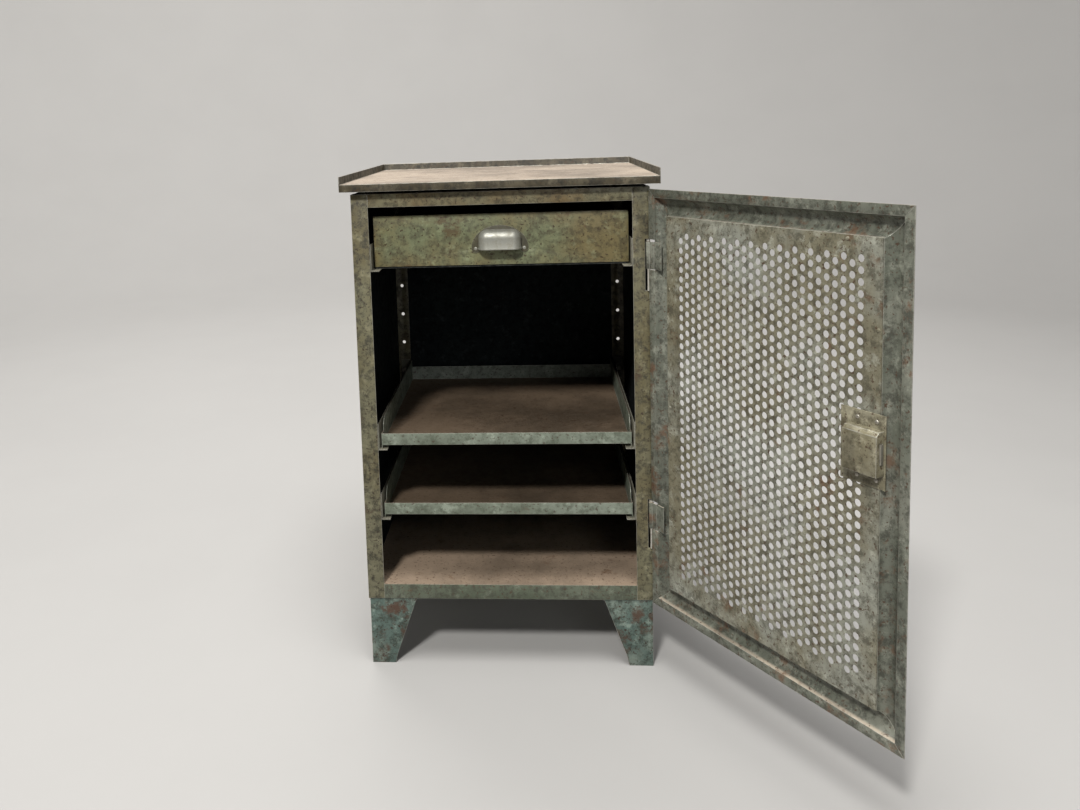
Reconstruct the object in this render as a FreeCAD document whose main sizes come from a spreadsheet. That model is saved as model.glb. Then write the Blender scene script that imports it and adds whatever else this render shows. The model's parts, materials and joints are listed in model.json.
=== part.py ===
"""Sheet-steel workshop cabinet with one drawer, two pull-out trays and a perforated door.

Millimetres. X runs to the right seen from the front, Y to the back, Z up. The origin is the
centre of the cabinet's footprint on the floor. The door stands open on its hinge pins.
"""
import FreeCAD, Part
import math
import os
import re

import Sketcher
from FreeCAD import Placement, Rotation, Vector

DIMENSIONS = {
    # carcass
    "body_width": 484, "body_depth": 455, "body_height": 695,
    "post_width": 28, "post_wall": 2, "sheet_wall": 1.5, "panel_wall": 1.2,
    "top_rail_drop": 22, "top_rail_flange": 26, "side_rail_drop": 24, "bottom_lip": 25.5,
    "back_panel_gap": 0.5, "back_rivet_end": 47.5, "back_rivet_inset": 3.3,
    # feet
    "foot_height": 118, "foot_width": 83, "foot_toe": 42, "foot_ankle": 46.5, "foot_heel": 18,
    "foot_inset": 2, "foot_wall": 3, "foot_flange": 36,
    # worktop tray and what carries it
    "worktop_overhang": 15.5, "worktop_rise": 5, "worktop_apron": 12.5, "worktop_lip": 13,
    "worktop_wall": 1.5, "bearer_width": 24, "bearer_inset": 17,
    # hole grid in the rear posts, and the runners bolted to it
    "grid_drop": 106, "grid_rise": 162, "grid_count": 8, "grid_hole": 6.6, "grid_inset": 15.5,
    "lower_tray_hole": 7, "upper_tray_hole": 5, "drawer_hole": 0,
    "runner_height": 45, "runner_foot": 15, "runner_wall": 1.6,
    "screw_shank": 6, "screw_head": 11, "screw_head_height": 2.6, "screw_length": 9,
    "nut_width": 10, "nut_height": 4.5, "thread_gap": 0.05,
    # drawer
    "slide_gap": 0.4, "drawer_side_gap": 2.9, "drawer_face_height": 84.5, "drawer_face_lift": 3,
    "drawer_rear_gap": 38, "drawer_wall": 1.2, "drawer_side_inset": 1.5,
    "drawer_side_height": 68, "drawer_face_return": 10,
    # cup pull
    "pull_ear_span": 12, "pull_height": 45, "pull_flange": 1.4, "pull_ear": 7, "pull_rise": 0.5,
    "cup_width": 70, "cup_height": 32, "cup_reach": 18.5, "cup_wall": 1.4, "cup_rise": 6,
    "cup_corner": 14, "cup_lip": 1.2, "cup_lip_height": 2, "pull_clear": 2.3,
    "pull_rivet": 3.2, "pull_head": 5.8, "pull_head_height": 0.8, "pull_tail": 5.2,
    "pull_tail_height": 1,
    # trays
    "tray_side_gap": 3.4, "tray_recess": 8, "tray_rear_gap": 27, "tray_lip": 20, "tray_side": 41.5,
    "tray_back": 28, "tray_skirt": 5.4, "tray_wall": 1.2, "tray_shoulder": 20,
    # door
    "door_reveal": 6, "door_top_gap": 3.5, "door_hang": 1.5, "door_gap": 0.5,
    "door_open_angle": 123.5, "frame_flange": 14, "frame_trough": 28, "trough_spread": 0.2,
    "trough_lift": 1.5, "frame_return": 10, "door_wall": 1.5,
    "mesh_hole": 10, "mesh_pitch": 15, "mesh_margin": 30, "mesh_rise": 3,
    "rivet_shank": 3, "rivet_head": 6, "rivet_head_height": 1.2, "rivet_inset": 5,
    "door_rivet_pitch": 95,
    # hinges
    "hinge_axis_inset": 3.5, "hinge_axis_proud": 1.5, "pin_radius": 2, "pin_gap": 0.06,
    "knuckle_radius": 4, "knuckle_height": 44, "knuckle_gap": 1, "pin_tail": 36,
    "pin_head_radius": 3.2, "pin_head_height": 2.2, "pin_tip": 0.1,
    "post_notch_gap": 1, "hinge_drop": 107, "hinge_lift": 151.5, "leaf_reach": 13.5,
    "leaf_back": 3, "leaf_slot": 0.6, "leaf_wall": 1.5, "pin_foot": 7,
    # rim lock
    "lock_from_free_edge": 60, "lock_rise": 384, "lock_plate_width": 66,
    "lock_plate_height": 95, "lock_plate_shift": 6, "lock_plate_wall": 1.5,
    "lock_case_width": 50.5, "lock_case_height": 57, "lock_case_depth": 15,
    "lock_case_wall": 1.2, "lock_case_bevel": 5, "lock_screw_spread_x": 28,
    "lock_screw_spread_z": 75, "lock_screw_head": 6, "lock_screw_height": 1.4,
    "lock_screw_shank": 3, "lock_screw_length": 4, "bolt_height": 26, "bolt_length": 40,
    "bolt_thickness": 5, "bolt_throw": 16, "bolt_proud": 1.5, "bolt_level": 3.5,
    "bolt_guide_gap": 0.4, "core_radius": 6, "core_gap": 0.3, "core_pin_radius": 1.5,
    "core_disc_radius": 14, "core_disc_height": 1.5,
    "core_disc_gap": 0.5, "core_proud": 1, "slot_gap": 0.6, "escutcheon_radius": 13,
    "escutcheon_wall": 1.5, "keyway_width": 2, "keyway_height": 8.4,
}

# how far a cutting tool runs past the surface that it cuts, in millimetres
OVER = 1

doc = FreeCAD.newDocument("WorkshopCabinet")
sheet = doc.addObject("Spreadsheet::Sheet", "Sizes")
for row, (alias, size) in enumerate(DIMENSIONS.items(), start=1):
    sheet.set(f"A{row}", alias)
    sheet.set(f"B{row}", str(size))
    sheet.setAlias(f"B{row}", alias)
doc.recompute()

NODES = []

# heights and depths that several pieces share, as expressions on the sheet
BODY_TOP = "(foot_height + body_height)"
FRONT = "(-body_depth / 2)"
BACK = "(body_depth / 2)"
SIDE = "(body_width / 2)"
OPENING = "(body_width / 2 - post_width)"
INNER_SIDE = "(body_width / 2 - post_wall - panel_wall)"
APRON_BOTTOM = f"({BODY_TOP} + worktop_rise)"
WORKTOP = f"({APRON_BOTTOM} + worktop_apron)"
DOOR_WIDTH = "(body_width - 2 * door_reveal)"
DOOR_EDGE = "(body_width / 2 - door_reveal)"
DOOR_BOTTOM = "(foot_height - door_hang)"
DOOR_HEIGHT = "(body_height + door_hang - door_top_gap)"
DOOR_TOP = f"({DOOR_BOTTOM} + {DOOR_HEIGHT})"
DOOR_FACE = f"({FRONT} - door_gap)"
FRAME_WIDTH = "(frame_flange + frame_trough)"
AXIS_X = "(body_width / 2 - hinge_axis_inset)"
AXIS_Y = f"({FRONT} - hinge_axis_proud)"
NOTCH_BACK = f"({FRONT} + knuckle_radius + post_notch_gap - hinge_axis_proud)"
NOTCH_SIDE = f"({AXIS_X} - knuckle_radius - post_notch_gap)"
LOCK_X = f"({DOOR_EDGE} - {DOOR_WIDTH} + lock_from_free_edge)"
LOCK_LEVEL = f"({DOOR_BOTTOM} + lock_rise)"
PANEL_LEFT = f"({DOOR_EDGE} - {DOOR_WIDTH} + {FRAME_WIDTH})"
PANEL_RIGHT = f"({DOOR_EDGE} - {FRAME_WIDTH})"
PANEL_LOW = f"({DOOR_BOTTOM} + {FRAME_WIDTH})"
PANEL_HIGH = f"({DOOR_TOP} - {FRAME_WIDTH})"
GRID_TOP = f"({BODY_TOP} - grid_drop)"
GRID_SPAN = "(body_height - grid_drop - grid_rise)"


def on_sheet(text):
    """The expression with each alias written as a cell of the sheet."""
    return re.sub(r"\b[a-z]+(?:_[a-z]+)+\b", lambda word: "Sizes." + word.group(0), str(text))


def value(text):
    """The number that an expression on the sheet gives."""
    return float(sheet.evalExpression(re.sub(r"Sizes\.", "", str(text))))


def spot(x, y, z):
    """A point from three expressions."""
    return Vector(value(x), value(y), value(z))


def grid_height(hole):
    """The height of a hole of the rear posts' grid, counted down from the highest."""
    return f"({GRID_TOP} - {hole} * {GRID_SPAN} / (grid_count - 1))"


def bind(feature, prop, text):
    """Sets a property from an expression on the sheet."""
    feature.setExpression(prop, on_sheet(text))


def node(feature, label):
    """Names a finished piece, which is written to a file of that name."""
    feature.Label = label
    NODES.append(feature)
    return feature


def box(name, x, y, z):
    """A block between two expressions on each axis."""
    block = doc.addObject("Part::Box", name)
    for size, axis, (low, high) in zip(("Length", "Width", "Height"), "xyz", (x, y, z)):
        bind(block, size, f"({high}) - ({low})")
        bind(block, f"Placement.Base.{axis}", low)
    return block


def rod(name, radius, low, high, first, second, axis="z"):
    """A cylinder along one axis, from low to high, at first and second on the other two."""
    turn = {"x": Rotation(Vector(0, 1, 0), 90), "y": Rotation(Vector(1, 0, 0), -90), "z": Rotation()}
    others = [a for a in "xyz" if a != axis]
    cylinder = doc.addObject("Part::Cylinder", name)
    cylinder.Placement = Placement(Vector(), turn[axis])
    bind(cylinder, "Radius", radius)
    bind(cylinder, "Height", f"({high}) - ({low})")
    bind(cylinder, f"Placement.Base.{axis}", low)
    bind(cylinder, f"Placement.Base.{others[0]}", first)
    bind(cylinder, f"Placement.Base.{others[1]}", second)
    return cylinder


def join(name, parts):
    """One shape from parts that meet, or a group of solids from parts that don't."""
    whole = doc.addObject("Part::MultiFuse", name)
    whole.Shapes = parts
    whole.Refine = True
    return whole


def cut(name, base, tools):
    """The base with the tools taken out of it."""
    result = doc.addObject("Part::Cut", name)
    result.Base = base
    result.Tool = tools[0] if len(tools) == 1 else join(f"{name}_tools", tools)
    result.Refine = True
    return result


def origin_plane(body, role):
    """A body's own origin plane or axis."""
    return next(item for item in body.Origin.OriginFeatures if item.Role == role)


def sketch_on(body, name, role, offset=None):
    """An empty sketch on one of the body's origin planes, moved along its normal by offset."""
    sketch = body.newObject("Sketcher::SketchObject", name)
    sketch.AttachmentSupport = [(origin_plane(body, role), "")]
    sketch.MapMode = "FlatFace"
    if offset is not None:
        bind(sketch, "AttachmentOffset.Base.z", offset)
    return sketch


def pin_point(sketch, geometry, corner, name, x=None, y=None):
    """Ties a point of a sketch to expressions for its two coordinates."""
    for kind, text in (("DistanceX", x), ("DistanceY", y)):
        if text is None:
            continue
        label = f"{name}{kind[-1]}"
        added = sketch.addConstraint(Sketcher.Constraint(kind, -1, 1, geometry, corner, value(text)))
        sketch.renameConstraint(added, label)
        sketch.setExpression(f"Constraints.{label}", on_sheet(text))


def outline(sketch, corners):
    """A closed outline of straight lines through corners given as pairs of expressions."""
    points = [Vector(value(x), value(y), 0) for x, y in corners]
    for here, there in zip(points, points[1:] + points[:1]):
        sketch.addGeometry(Part.LineSegment(here, there))
    for n, (x, y) in enumerate(corners):
        sketch.addConstraint(Sketcher.Constraint("Coincident", n - 1 if n else len(corners) - 1, 2, n, 1))
        pin_point(sketch, n, 1, f"corner{n}", x, y)
    return sketch


def circle(sketch, x, y, radius, name="ring"):
    """A full circle in a sketch."""
    made = sketch.addGeometry(Part.Circle(Vector(value(x), value(y), 0), Vector(0, 0, 1), value(radius)))
    pin_point(sketch, made, 3, name, x, y)
    added = sketch.addConstraint(Sketcher.Constraint("Radius", made, value(radius)))
    sketch.renameConstraint(added, f"{name}R")
    sketch.setExpression(f"Constraints.{name}R", on_sheet(radius))
    return sketch


def pad(body, name, sketch, length):
    """A sketch raised along its normal."""
    feature = body.newObject("PartDesign::Pad", name)
    feature.Profile = sketch
    bind(feature, "Length", length)
    return feature


def pocket_through(body, name, sketch):
    """A sketch cut right through the body, both ways from its plane."""
    doc.recompute()
    before = body.Shape.Volume
    feature = body.newObject("PartDesign::Pocket", name)
    feature.Profile = sketch
    feature.Type = "ThroughAll"
    feature.SideType = "Symmetric"
    doc.recompute()
    if not body.Shape.Volume < before:
        raise RuntimeError(f"{name} cuts nothing")
    return feature


def place(feature, x, y, z, turn=0):
    """Puts a piece at three expressions, turned about the vertical by quarter turns."""
    feature.Placement = Placement(Vector(), Rotation(Vector(0, 0, 1), turn))
    for axis, text in zip("xyz", (x, y, z)):
        bind(feature, f"Placement.Base.{axis}", text)
    return feature


# ---------------------------------------------------------------- posts and feet

CORNERS = {
    "front_left": (f"-{SIDE}", FRONT, 0),
    "front_right": (SIDE, FRONT, 90),
    "rear_right": (SIDE, BACK, 180),
    "rear_left": (f"-{SIDE}", BACK, 270),
}


def post_body(corner):
    """An angle post, drawn in its own corner: one leg along X, one along Y."""
    x, y, turn = CORNERS[corner]
    body = doc.addObject("PartDesign::Body", f"{corner}_post_body")
    profile = sketch_on(body, f"{corner}_post_profile", "XY_Plane")
    outline(profile, [
        ("0", "0"), ("post_width", "0"), ("post_width", "post_wall"),
        ("post_wall", "post_wall"), ("post_wall", "post_width"), ("0", "post_width"),
    ])
    pad(body, f"{corner}_post_pad", profile, "body_height")
    return place(body, x, y, "foot_height", turn)


def punch_grid(body, corner):
    """The row of runner holes in a rear post's back leg."""
    plane = {"rear_right": "XZ_Plane", "rear_left": "YZ_Plane"}[corner]
    sketch = sketch_on(body, f"{corner}_hole", plane)
    circle(sketch, "grid_inset", "grid_rise", "grid_hole / 2")
    hole = pocket_through(body, f"{corner}_hole_cut", sketch)
    row = body.newObject("PartDesign::LinearPattern", f"{corner}_hole_row")
    row.Originals = [hole]
    row.Direction = (origin_plane(body, "Z_Axis"), [""])
    bind(row, "Length", GRID_SPAN)
    bind(row, "Occurrences", "grid_count")
    body.Tip = row


def hinge_height(hinge):
    """The bottom of a hinge's knuckle."""
    middle = {"upper": f"{DOOR_TOP} - hinge_drop", "lower": f"{DOOR_BOTTOM} + hinge_lift"}[hinge]
    return f"({middle} - knuckle_height / 2)"


def post_notch(hinge):
    """The notch in the hinge post's corner that a knuckle and its pin turn in."""
    low = hinge_height(hinge)
    return box(
        f"{hinge}_notch", (NOTCH_SIDE, f"{SIDE} + {OVER}"), (f"{FRONT} - {OVER}", NOTCH_BACK),
        (f"{low} - pin_tail", f"{low} + knuckle_height + 2 * knuckle_gap + pin_head_height"),
    )


def make_posts():
    """Four angle posts: plain at the front left, notched for hinges at the front right."""
    node(post_body("front_left"), "front_left_post")
    notched = cut("front_right_post", post_body("front_right"), [post_notch("upper"), post_notch("lower")])
    node(notched, "front_right_post")
    for corner in ("rear_left", "rear_right"):
        body = post_body(corner)
        punch_grid(body, corner)
        node(body, f"{corner}_post")


def make_foot(corner):
    """A corner foot: two plates that taper inwards below a flat flange."""
    x, y, turn = CORNERS[corner]
    body = doc.addObject("PartDesign::Body", f"{corner}_foot")
    taper = [
        ("foot_inset", "0"), ("foot_toe", "0"), ("foot_ankle", "foot_heel"),
        ("foot_width", "foot_height"), ("foot_inset", "foot_height"),
    ]
    front = outline(sketch_on(body, f"{corner}_foot_front", "XZ_Plane", "-foot_inset - foot_wall"), taper)
    pad(body, f"{corner}_foot_front_plate", front, "foot_wall")
    side = outline(sketch_on(body, f"{corner}_foot_side", "YZ_Plane", "foot_inset"), taper)
    pad(body, f"{corner}_foot_side_plate", side, "foot_wall")
    flange = outline(sketch_on(body, f"{corner}_foot_top", "XY_Plane", "foot_height - foot_wall"), [
        ("foot_inset", "foot_inset"), ("foot_width", "foot_inset"), ("foot_width", "foot_flange"),
        ("foot_flange", "foot_flange"), ("foot_flange", "foot_width"), ("foot_inset", "foot_width"),
    ])
    pad(body, f"{corner}_foot_flange", flange, "foot_wall")
    node(place(body, x, y, "0", turn), f"{corner}_foot")


# ---------------------------------------------------------------- panels, rails and worktop

BACK_EDGE = f"({SIDE} - grid_inset - screw_head / 2 - back_panel_gap)"


def make_shell():
    """Side and back panels, inside and behind the posts."""
    for side, sign in (("left", "-"), ("right", "")):
        outer = f"({SIDE} - post_wall)"
        span = (f"-{outer}", f"-{INNER_SIDE}") if sign else (INNER_SIDE, outer)
        panel = box(
            f"{side}_side_panel_sheet", span,
            (f"{NOTCH_BACK} + post_notch_gap", f"{BACK} - post_wall"), ("foot_height", BODY_TOP),
        )
        node(panel, f"{side}_side_panel")
    across = (f"-{BACK_EDGE}", BACK_EDGE)
    back = box("back_sheet", across, (BACK, f"{BACK} + panel_wall"), ("foot_height", BODY_TOP))
    holes = [
        rod(f"back_hole{n}", "rivet_shank / 2", f"{BACK} - {OVER}", f"{BACK} + panel_wall + {OVER}", x, z, "y")
        for n, (x, z) in enumerate(back_rivets())
    ]
    node(cut("back_panel", back, holes), "back_panel")


def back_rivets():
    """Where rivets hold the back panel to the rear posts, as pairs of expressions."""
    x = f"({BACK_EDGE} - back_rivet_inset)"
    middle = "(foot_height + body_height / 2)"
    return [
        (f"{sign}{x}", f"({middle} + {step} * (body_height - 2 * back_rivet_end) / 4)")
        for sign in ("-", "") for step in (-2, -1, 0, 1, 2)
    ]


def make_rails():
    """Angle rails round the top of the body, and the folded bottom pan."""
    top = (f"{BODY_TOP} - sheet_wall", BODY_TOP)
    drop = (f"{BODY_TOP} - top_rail_drop", BODY_TOP)
    width = (f"-{OPENING}", OPENING)
    for name, outer, inner in (
        ("front_top_rail", FRONT, f"{FRONT} + top_rail_flange"),
        ("rear_top_rail", BACK, f"{BACK} - top_rail_flange"),
    ):
        wall = (outer, f"{outer} + sheet_wall") if "front" in name else (f"{outer} - sheet_wall", outer)
        flange = (outer, inner) if "front" in name else (inner, outer)
        folds = [box(f"{name}_wall", width, wall, drop), box(f"{name}_flange", width, flange, top)]
        node(join(name, folds), name)
    for side, sign in (("left", "-"), ("right", "")):
        name = f"{side}_top_rail"
        along = (f"{FRONT} + post_width", f"{BACK} - post_width")
        wall = (f"{INNER_SIDE} - sheet_wall", INNER_SIDE)
        flange = (f"{INNER_SIDE} - top_rail_flange", INNER_SIDE)
        if sign:
            wall, flange = (tuple(f"-({x})" for x in reversed(span)) for span in (wall, flange))
        drop = (f"{BODY_TOP} - side_rail_drop", BODY_TOP)
        folds = [box(f"{name}_wall", wall, along, drop), box(f"{name}_flange", flange, along, top)]
        node(join(name, folds), name)


def make_bottom_pan():
    """The cabinet's floor, folded down on all four sides; its front fold fills the opening's foot."""
    low, high = "foot_height", "(foot_height + bottom_lip)"
    floor = (f"{high} - sheet_wall", high)
    inner = f"({BACK} - post_wall)"
    parts = [
        box("pan_floor", (f"-{INNER_SIDE}", INNER_SIDE), (f"-{inner}", inner), floor),
        box("pan_nose", (f"-{OPENING}", OPENING), (FRONT, f"-{inner}"), floor),
        box("pan_front", (f"-{OPENING}", OPENING), (FRONT, f"{FRONT} + sheet_wall"), (low, high)),
        box("pan_rear", (f"-{OPENING}", OPENING), (f"{inner} - sheet_wall", inner), (low, high)),
        box("pan_left", (f"-{INNER_SIDE}", f"sheet_wall - {INNER_SIDE}"), (f"-{inner}", inner), (low, high)),
        box("pan_right", (f"{INNER_SIDE} - sheet_wall", INNER_SIDE), (f"-{inner}", inner), (low, high)),
    ]
    node(join("bottom_pan", parts), "bottom_pan")


def make_worktop():
    """The worktop tray, with a lip at the sides and back, on two channel bearers."""
    x, y = f"({SIDE} + worktop_overhang)", f"({BACK} + worktop_overhang)"
    rim = (APRON_BOTTOM, f"{WORKTOP} + worktop_lip")
    parts = [
        box("top_floor", (f"-{x}", x), (f"-{y}", y), (f"{WORKTOP} - worktop_wall", WORKTOP)),
        box("top_apron", (f"-{x}", x), (f"-{y}", f"worktop_wall - {y}"), (APRON_BOTTOM, WORKTOP)),
        box("top_back", (f"-{x}", x), (f"{y} - worktop_wall", y), rim),
        box("top_left", (f"-{x}", f"worktop_wall - {x}"), (f"-{y}", y), rim),
        box("top_right", (f"{x} - worktop_wall", x), (f"-{y}", y), rim),
    ]
    node(join("worktop", parts), "worktop")
    along = (f"{FRONT} + post_width", f"{BACK} - post_width")
    for side, sign in (("left", "-"), ("right", "")):
        outer, inner = f"({SIDE} - bearer_inset)", f"({SIDE} - bearer_inset - bearer_width)"
        span = (f"-{outer}", f"-{inner}") if sign else (inner, outer)
        shell = box(f"{side}_bearer_shell", span, along, (BODY_TOP, f"{WORKTOP} - worktop_wall"))
        hollow = box(
            f"{side}_bearer_hollow", (f"{span[0]} + sheet_wall", f"{span[1]} - sheet_wall"),
            (f"{along[0]} - {OVER}", f"{along[1]} + {OVER}"),
            (f"{BODY_TOP} - {OVER}", f"{WORKTOP} - worktop_wall - sheet_wall"),
        )
        node(cut(f"{side}_worktop_bearer", shell, [hollow]), f"{side}_worktop_bearer")


# ---------------------------------------------------------------- runners

RUNNERS = {"lower_tray": "lower_tray_hole", "upper_tray": "upper_tray_hole", "drawer": "drawer_hole"}


def runner_foot_top(owner):
    """The height of the foot that a drawer or tray slides on."""
    return f"({grid_height(RUNNERS[owner])} - runner_height / 2 + runner_wall)"


def make_runner(owner, side):
    """An angle runner with an end tab on each post, bolted through the rear one."""
    name = f"{side}_{owner}_runner"
    mirror = side == "left"
    level = grid_height(RUNNERS[owner])
    low, high = f"({level} - runner_height / 2)", f"({level} + runner_height / 2)"
    front, back = f"({FRONT} + post_wall)", f"({BACK} - post_wall)"

    def across(inner, outer):
        return (f"-({outer})", f"-({inner})") if mirror else (inner, outer)

    tab = across(f"{OPENING} - runner_wall", NOTCH_SIDE)
    foot = across(f"{OPENING} - runner_foot", OPENING)
    body = join(f"{name}_folds", [
        box(f"{name}_leg", across(f"{OPENING} - runner_wall", OPENING), (front, back), (low, high)),
        box(f"{name}_foot", foot, (front, back), (low, f"{low} + runner_wall")),
        box(f"{name}_front_tab", tab, (front, f"{front} + runner_wall"), (low, high)),
        box(f"{name}_rear_tab", tab, (f"{back} - runner_wall", back), (low, high)),
    ])
    x = f"-({SIDE} - grid_inset)" if mirror else f"({SIDE} - grid_inset)"
    ends = (f"{back} - runner_wall - {OVER}", f"{back} + {OVER}")
    hole = rod(f"{name}_hole", "grid_hole / 2", *ends, x, level, "y")
    node(cut(name, body, [hole]), name)


def make_runner_fasteners():
    """Screws through the rear posts, and the nuts on them inside."""
    screws, nuts, bores = [], [], []
    for owner, hole in RUNNERS.items():
        for side, sign in (("left", "-"), ("right", "")):
            tag = f"{side}_{owner}"
            x, z = f"{sign}({SIDE} - grid_inset)", grid_height(hole)
            inside = f"({BACK} - post_wall - runner_wall)"
            tip, top = f"{BACK} - screw_length", f"{BACK} + screw_head_height"
            screws.append(rod(f"{tag}_shank", "screw_shank / 2", tip, BACK, x, z, "y"))
            screws.append(rod(f"{tag}_head", "screw_head / 2", BACK, top, x, z, "y"))
            nut = doc.addObject("Part::Prism", f"{tag}_nut")
            nut.Polygon = 6
            nut.Placement = Placement(Vector(), Rotation(Vector(1, 0, 0), -90))
            bind(nut, "Circumradius", "nut_width / sqrt(3)")
            bind(nut, "Height", "nut_height")
            for axis, text in zip("xyz", (x, f"{inside} - nut_height", z)):
                bind(nut, f"Placement.Base.{axis}", text)
            nuts.append(nut)
            ends = (f"{inside} - nut_height - {OVER}", f"{inside} + {OVER}")
            bores.append(rod(f"{tag}_nut_bore", "screw_shank / 2 + thread_gap", *ends, x, z, "y"))
    node(join("runner_screws", screws), "runner_screws")
    node(cut("runner_nuts", join("runner_nut_blanks", nuts), bores), "runner_nuts")


def make_back_rivets():
    """Round-head rivets along both edges of the back panel."""
    parts = []
    face = f"{BACK} + panel_wall"
    top = f"{face} + rivet_head_height"
    for n, (x, z) in enumerate(back_rivets()):
        parts.append(rod(f"back_rivet_shank{n}", "rivet_shank / 2", BACK, face, x, z, "y"))
        parts.append(rod(f"back_rivet_head{n}", "rivet_head / 2", face, top, x, z, "y"))
    node(join("back_panel_rivets", parts), "back_panel_rivets")


# ---------------------------------------------------------------- drawer

DRAWER_BOTTOM = f"({runner_foot_top('drawer')} + slide_gap)"
DRAWER_RECESS = "(cup_reach + cup_lip + pull_clear)"
DRAWER_FRONT = f"({FRONT} + {DRAWER_RECESS})"
DRAWER_HALF = f"({OPENING} - runner_wall - drawer_side_gap)"
FACE_BOTTOM = f"({DRAWER_BOTTOM} + drawer_face_lift)"
PULL_LEVEL = f"({FACE_BOTTOM} + drawer_face_height / 2 + pull_rise)"
PULL_RIVET_LEVEL = f"({PULL_LEVEL} - pull_height / 2 + pull_ear)"
PULL_HALF = "(cup_width / 2 + pull_ear_span)"
PULL_RIVETS = {"left": f"(pull_ear - {PULL_HALF})", "right": f"({PULL_HALF} - pull_ear)"}


def make_drawer():
    """A folded box behind a plain face with returned edges."""
    half = DRAWER_HALF
    inside = f"({DRAWER_FRONT} + drawer_wall)"
    deep = (DRAWER_FRONT, f"{DRAWER_FRONT} + drawer_face_return")
    face_top = f"({FACE_BOTTOM} + drawer_face_height)"
    tall = (FACE_BOTTOM, face_top)
    face = join("drawer_face_blank", [
        box("face_sheet", (f"-{half}", half), (DRAWER_FRONT, inside), tall),
        box("face_top", (f"-{half}", half), deep, (f"{face_top} - drawer_wall", face_top)),
        box("face_left", (f"-{half}", f"drawer_wall - {half}"), deep, tall),
        box("face_right", (f"{half} - drawer_wall", half), deep, tall),
    ])
    rivet_holes = [
        rod(f"pull_hole_{side}", "pull_rivet / 2", f"{DRAWER_FRONT} - {OVER}", f"{inside} + {OVER}", x,
            PULL_RIVET_LEVEL, "y")
        for side, x in PULL_RIVETS.items()
    ]
    node(cut("drawer_face_drilled", face, rivet_holes), "drawer_face")

    outer = f"({half} - drawer_wall - drawer_side_inset)"
    back = f"({BACK} - drawer_rear_gap)"
    level = (DRAWER_BOTTOM, f"{DRAWER_BOTTOM} + drawer_side_height")
    along = (inside, back)
    walls = [
        box("box_floor", (f"-{outer}", outer), along, (DRAWER_BOTTOM, f"{DRAWER_BOTTOM} + drawer_wall")),
        box("box_left", (f"-{outer}", f"drawer_wall - {outer}"), along, level),
        box("box_right", (f"{outer} - drawer_wall", outer), along, level),
        box("box_back", (f"-{outer}", outer), (f"{back} - drawer_wall", back), level),
    ]
    node(join("drawer_box", walls), "drawer_box")


def rounded_block(half, reach, height, radius, below):
    """A block against the flange's plane, rounded on every edge that faces away from it."""
    block = Part.makeBox(2 * half, reach + below, height + below, Vector(-half, -reach, -below))
    away = [
        edge for edge in block.Edges
        if edge.BoundBox.YMin < below / 2 and edge.BoundBox.ZMax > -below / 2
        and not (edge.BoundBox.YMin > -reach / 2 or edge.BoundBox.ZMax < height / 2)
    ]
    return block.makeFillet(radius, away)


def make_cup_pull():
    """A pressed cup with an arched flange that ends in two round ears, open underneath."""
    wall, flange, ear = value("cup_wall"), value("pull_flange"), value("pull_ear")
    half, height, reach = value("cup_width / 2"), value("cup_height"), value("cup_reach")
    corner, lip, lip_height = value("cup_corner"), value("cup_lip"), value("cup_lip_height")
    outer_x, top = value(PULL_HALF), value("pull_height / 2")
    ear_level, mouth = ear - top, value("cup_rise") - top
    out = Vector(0, -1, 0)

    arch_rise = top - ear_level
    ellipse = Part.Ellipse(Vector(), max(outer_x, arch_rise), min(outer_x, arch_rise)).toShape()
    ellipse.rotate(Vector(), Vector(1, 0, 0), 90)
    ellipse.translate(Vector(0, 0, ear_level))
    arch = Part.makeFace([Part.Wire(ellipse)], "Part::FaceMakerSimple").extrude(out * flange)
    upper = Part.makeBox(2 * outer_x, flange, arch_rise, Vector(-outer_x, -flange, ear_level))
    plate = arch.common(upper)
    for side in (-1, 1):
        plate = plate.fuse(Part.makeCylinder(ear, flange, Vector(side * (outer_x - ear), 0, ear_level), out))

    cup = rounded_block(half, reach, height, corner, 0)
    hollow = rounded_block(half - wall, reach - wall, height - wall, corner - wall, 1)
    rim = Part.makeBox(2 * (half + lip), reach + lip, lip_height, Vector(-half - lip, -reach - lip, 0))
    upright = [e for e in rim.Edges if e.BoundBox.ZLength > lip_height / 2 and e.BoundBox.YMin < -reach / 2]
    rim = rim.makeFillet(corner + lip, upright)
    for part in (cup, hollow, rim):
        part.translate(Vector(0, 0, mouth))
    shell = plate.fuse([cup, rim]).cut(hollow)
    for x in PULL_RIVETS.values():
        bore = Part.makeCylinder(value("pull_rivet / 2"), 3 * flange, Vector(value(x), flange, ear_level), out)
        shell = shell.cut(bore)
    pull = doc.addObject("Part::Feature", "cup_pull")
    pull.Shape = shell.removeSplitter()
    pull.Placement = Placement(spot("0", DRAWER_FRONT, PULL_LEVEL), Rotation())
    node(pull, "cup_pull")


def make_pull_rivets():
    """Two rivets through the cup pull's flange."""
    parts = []
    inside = f"({DRAWER_FRONT} + drawer_wall)"
    for side, x in PULL_RIVETS.items():
        front = f"({DRAWER_FRONT} - pull_flange)"
        parts += [
            rod(f"pull_rivet_{side}", "pull_rivet / 2", front, inside, x, PULL_RIVET_LEVEL, "y"),
            rod(f"pull_rivet_head_{side}", "pull_head / 2", f"{front} - pull_head_height", front, x,
                PULL_RIVET_LEVEL, "y"),
            rod(f"pull_rivet_tail_{side}", "pull_tail / 2", inside, f"{inside} + pull_tail_height", x,
                PULL_RIVET_LEVEL, "y"),
        ]
    node(join("pull_rivets", parts), "pull_rivets")


# ---------------------------------------------------------------- trays

TRAY_HALF = f"({OPENING} - runner_wall - tray_side_gap)"
TRAY_DEPTH = "(body_depth - tray_recess - tray_rear_gap)"


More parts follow.
